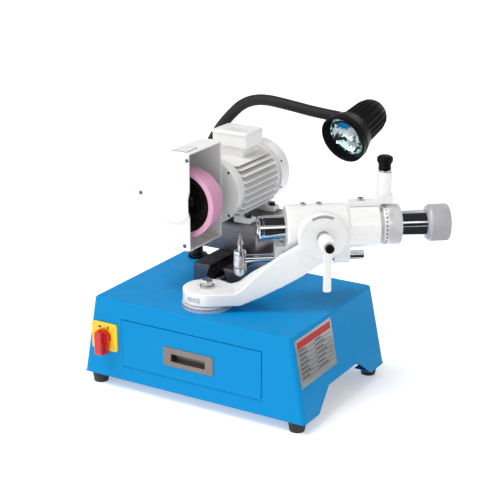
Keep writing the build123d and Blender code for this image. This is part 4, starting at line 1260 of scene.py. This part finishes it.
turned(
    body,
    [
        (34, 30),
        (34, 35),
        (38, 35),
        (44, 35),
        (54, 34.6),
        (64, 34.0),
        (74, 33.4),
        (84, 32.6),
        (91, 31.2),
        (97, 29.4),
        (102, 26.8),
        (106, 23.2),
        (109, 18),
        (110, 12),
        (110, 0),
        (107, 0),
        (107, 15),
        (97, 24),
        (82, 28),
    ],
    rim,
    -aim,
    264,
    closed=False,
    ripple=body_ribs,
)
put("lamp_housing", body, "lamp", black_plastic, ["lamp_body"], angle=60)
sleeve = bmesh.new()
turned(
    sleeve,
    [(0.3, 0), (0.3, 9.4), (2, 10.4), (9, 11.6), (11.5, 11), (12, 9), (12, 0)],
    neck_end,
    neck_heading,
    48,
    closed=False,
)
put("lamp_sleeve", sleeve, "lamp", ink_grey, bevel=0.3)
bezel = bmesh.new()
turned(
    bezel,
    [
        (1.6, 42.6),
        (0.2, 43.6),
        (0, 44.6),
        (0.6, 45.6),
        (2, 46),
        (9, 46),
        (11, 45.2),
        (12, 45.2),
        (14, 45.8),
        (20, 43.8),
        (28, 41),
        (34, 39),
        (34, 36),
        (17, 38.4),
    ],
    rim,
    -aim,
    128,
)
put("lamp_ring", bezel, "lamp", black_plastic, ["lamp_bezel"], bevel=0.3)

bowl = bmesh.new()
first, second = side_axes(-aim)
facet_rows = []
FACETS = 30
bowl_shape = (
    (16.5, 38.6), (20, 37), (24, 34), (28, 29.8), (31.5, 24.6),
    (34.5, 18.6), (37, 12.6), (39.6, 8), (40, 6.8),
)
for level, (length, radius) in enumerate(bowl_shape):
    ring = []
    for step in range(FACETS):
        turn = 2 * math.pi * (step + 0.5 * (level % 2)) / FACETS
        out = first * math.cos(turn) + second * math.sin(turn)
        ring.append(bowl.verts.new(rim - aim * length + out * radius))
    facet_rows.append(ring)
for level, (here, there) in enumerate(zip(facet_rows, facet_rows[1:])):
    for at in range(FACETS):
        following = (at + 1) % FACETS
        if level % 2 == 0:
            bowl.faces.new((here[at], here[following], there[at]))
            bowl.faces.new((here[following], there[following], there[at]))
        else:
            bowl.faces.new((here[at], there[following], there[at]))
            bowl.faces.new((here[at], here[following], there[following]))
put("lamp_reflector", bowl, "lamp", reflector_glass, ["halogen_lamp"], angle=1)
capsule = bmesh.new()
turned(
    capsule,
    [(17, 0), (17.4, 2.2), (19, 4), (22, 5.4), (26, 5.8), (34, 6), (40, 6.6), (40, 0)],
    rim,
    -aim,
    40,
    closed=False,
)
put("lamp_capsule", capsule, "lamp", clear_capsule, angle=50)
burner = bmesh.new()
turned(burner, [(36, 0), (36, 8.2), (41, 8.6), (41, 0)], rim, -aim, 32, closed=False)
put("lamp_burner", burner, "lamp", amber_glass, bevel=0.4)
lamp_fixing = bmesh.new()
fixing_out = (up.cross(aim).normalized() * -20 + up * -28).normalized()
cap_screw(lamp_fixing, rim - aim * 48 + fixing_out * 33.6, fixing_out, 3.2, 3)
put("lamp_screw", lamp_fixing, "lamp", zinc_steel)

# ---- stage, lights and camera ---------------------------------------------------
def flat(name, corners, finish):
    """A flat sheet of the studio, in metres."""
    mesh = bmesh.new()
    mesh.faces.new([mesh.verts.new(corner) for corner in corners])
    data = bpy.data.meshes.new(name)
    mesh.to_mesh(data)
    mesh.free()
    data.materials.append(finish)
    made = bpy.data.objects.new(name, data)
    bpy.context.scene.collection.objects.link(made)
    return made


floor_finish = surface("studio_floor", (0.95, 0.95, 0.95), 0.7, grain=(200.0, 0.01), mottle=(2.0, 0.005))
for each in floor_finish.node_tree.nodes:
    if each.type == "BSDF_PRINCIPLED":
        each.inputs["Emission Color"].default_value = (1.0, 1.0, 1.0, 1.0)
        each.inputs["Emission Strength"].default_value = 0.34
flat("studio_floor", [(-8, -8, 0), (8, -8, 0), (8, 8, 0), (-8, 8, 0)], floor_finish)

card_finish = surface("studio_card", (0.01, 0.01, 0.012), 0.9, mottle=(2.0, 0.02))


def card(name, centre, width, height, target):
    """A black card that only shows in reflections."""
    towards = (Vector(target) - Vector(centre)).normalized()
    first, second = side_axes(towards)
    middle = Vector(centre)
    made = flat(
        name,
        [
            middle + first * width / 2 * a + second * height / 2 * b
            for a, b in ((-1, -1), (1, -1), (1, 1), (-1, 1))
        ],
        card_finish,
    )
    made.visible_camera = False
    made.visible_diffuse = False
    made.visible_shadow = False
    return made


head_place = (0.15, 0.03, 0.3)
card("card_front", (1.05, -1.17, 0.33), 3.2, 0.72, (0.15, 0.03, 0.33))
card("card_over", (0.45, -0.40, 1.55), 3.0, 0.75, head_place)
card("card_top", (0.0, 0.25, 1.6), 3.0, 1.1, head_place)
card("card_floor", (0.75, -0.25, 0.02), 0.9, 1.6, (0.75, -0.25, 1.0))


def softbox(name, place, target, width, height, power, tint=(1, 1, 1)):
    """A rectangular studio light."""
    lamp = bpy.data.lights.new(name, "AREA")
    lamp.shape = "RECTANGLE"
    lamp.size, lamp.size_y = width, height
    lamp.energy = power
    lamp.color = tint
    made = bpy.data.objects.new(name, lamp)
    bpy.context.scene.collection.objects.link(made)
    made.location = place
    made.rotation_euler = (Vector(target) - Vector(place)).to_track_quat("-Z", "Y").to_euler()
    return made


softbox("key", (-1.5, -1.6, 2.2), (0, 0, 0.25), 1.6, 1.2, 16)
softbox("side", (2.0, -1.9, 1.5), (0.1, 0, 0.25), 1.2, 0.5, 3)
softbox("rear", (0.3, 2.4, 1.9), (0, 0, 0.3), 1.6, 0.8, 7)
sun = bpy.data.lights.new("sun", "SUN")
sun.energy = 1.45
sun.angle = math.radians(30)
daylight = bpy.data.objects.new("sun", sun)
bpy.context.scene.collection.objects.link(daylight)
daylight.rotation_euler = (Vector((0.25, 0.3, -1.0))).to_track_quat("-Z", "Y").to_euler()

fill = bpy.data.lights.new("fill", "SUN")
fill.energy = 0.35
fill.angle = math.radians(50)
front_fill = bpy.data.objects.new("fill", fill)
bpy.context.scene.collection.objects.link(front_fill)
front_fill.rotation_euler = Vector((-0.1, 1.0, -0.4)).to_track_quat("-Z", "Y").to_euler()

world = bpy.data.worlds.new("studio")
bpy.context.scene.world = world
world.use_nodes = True
tree = world.node_tree
tree.nodes.clear()
sky = node(tree, "ShaderNodeBackground", {"Color": (1.0, 1.0, 1.0, 1.0), "Strength": 0.5})
node(tree, "ShaderNodeOutputWorld", {"Surface": sky.outputs[0]})

CAMERA_PLACE = (1.19013, -1.96494, 1.02786)
CAMERA_DOWN, CAMERA_TURN, LENS_MM = 18.81, 30.54, 97.9
scene = bpy.context.scene
scene.view_settings.view_transform = "Standard"
scene.view_settings.look = "None"
camera_data = bpy.data.cameras.new("camera")
camera_data.lens = LENS_MM
camera_data.sensor_width = 36.0
camera_data.clip_start = 0.1
camera_data.clip_end = 50.0
camera = bpy.data.objects.new("camera", camera_data)
scene.collection.objects.link(camera)
camera.location = CAMERA_PLACE
camera.rotation_euler = (math.radians(90 - CAMERA_DOWN), 0, math.radians(CAMERA_TURN))
scene.camera = camera
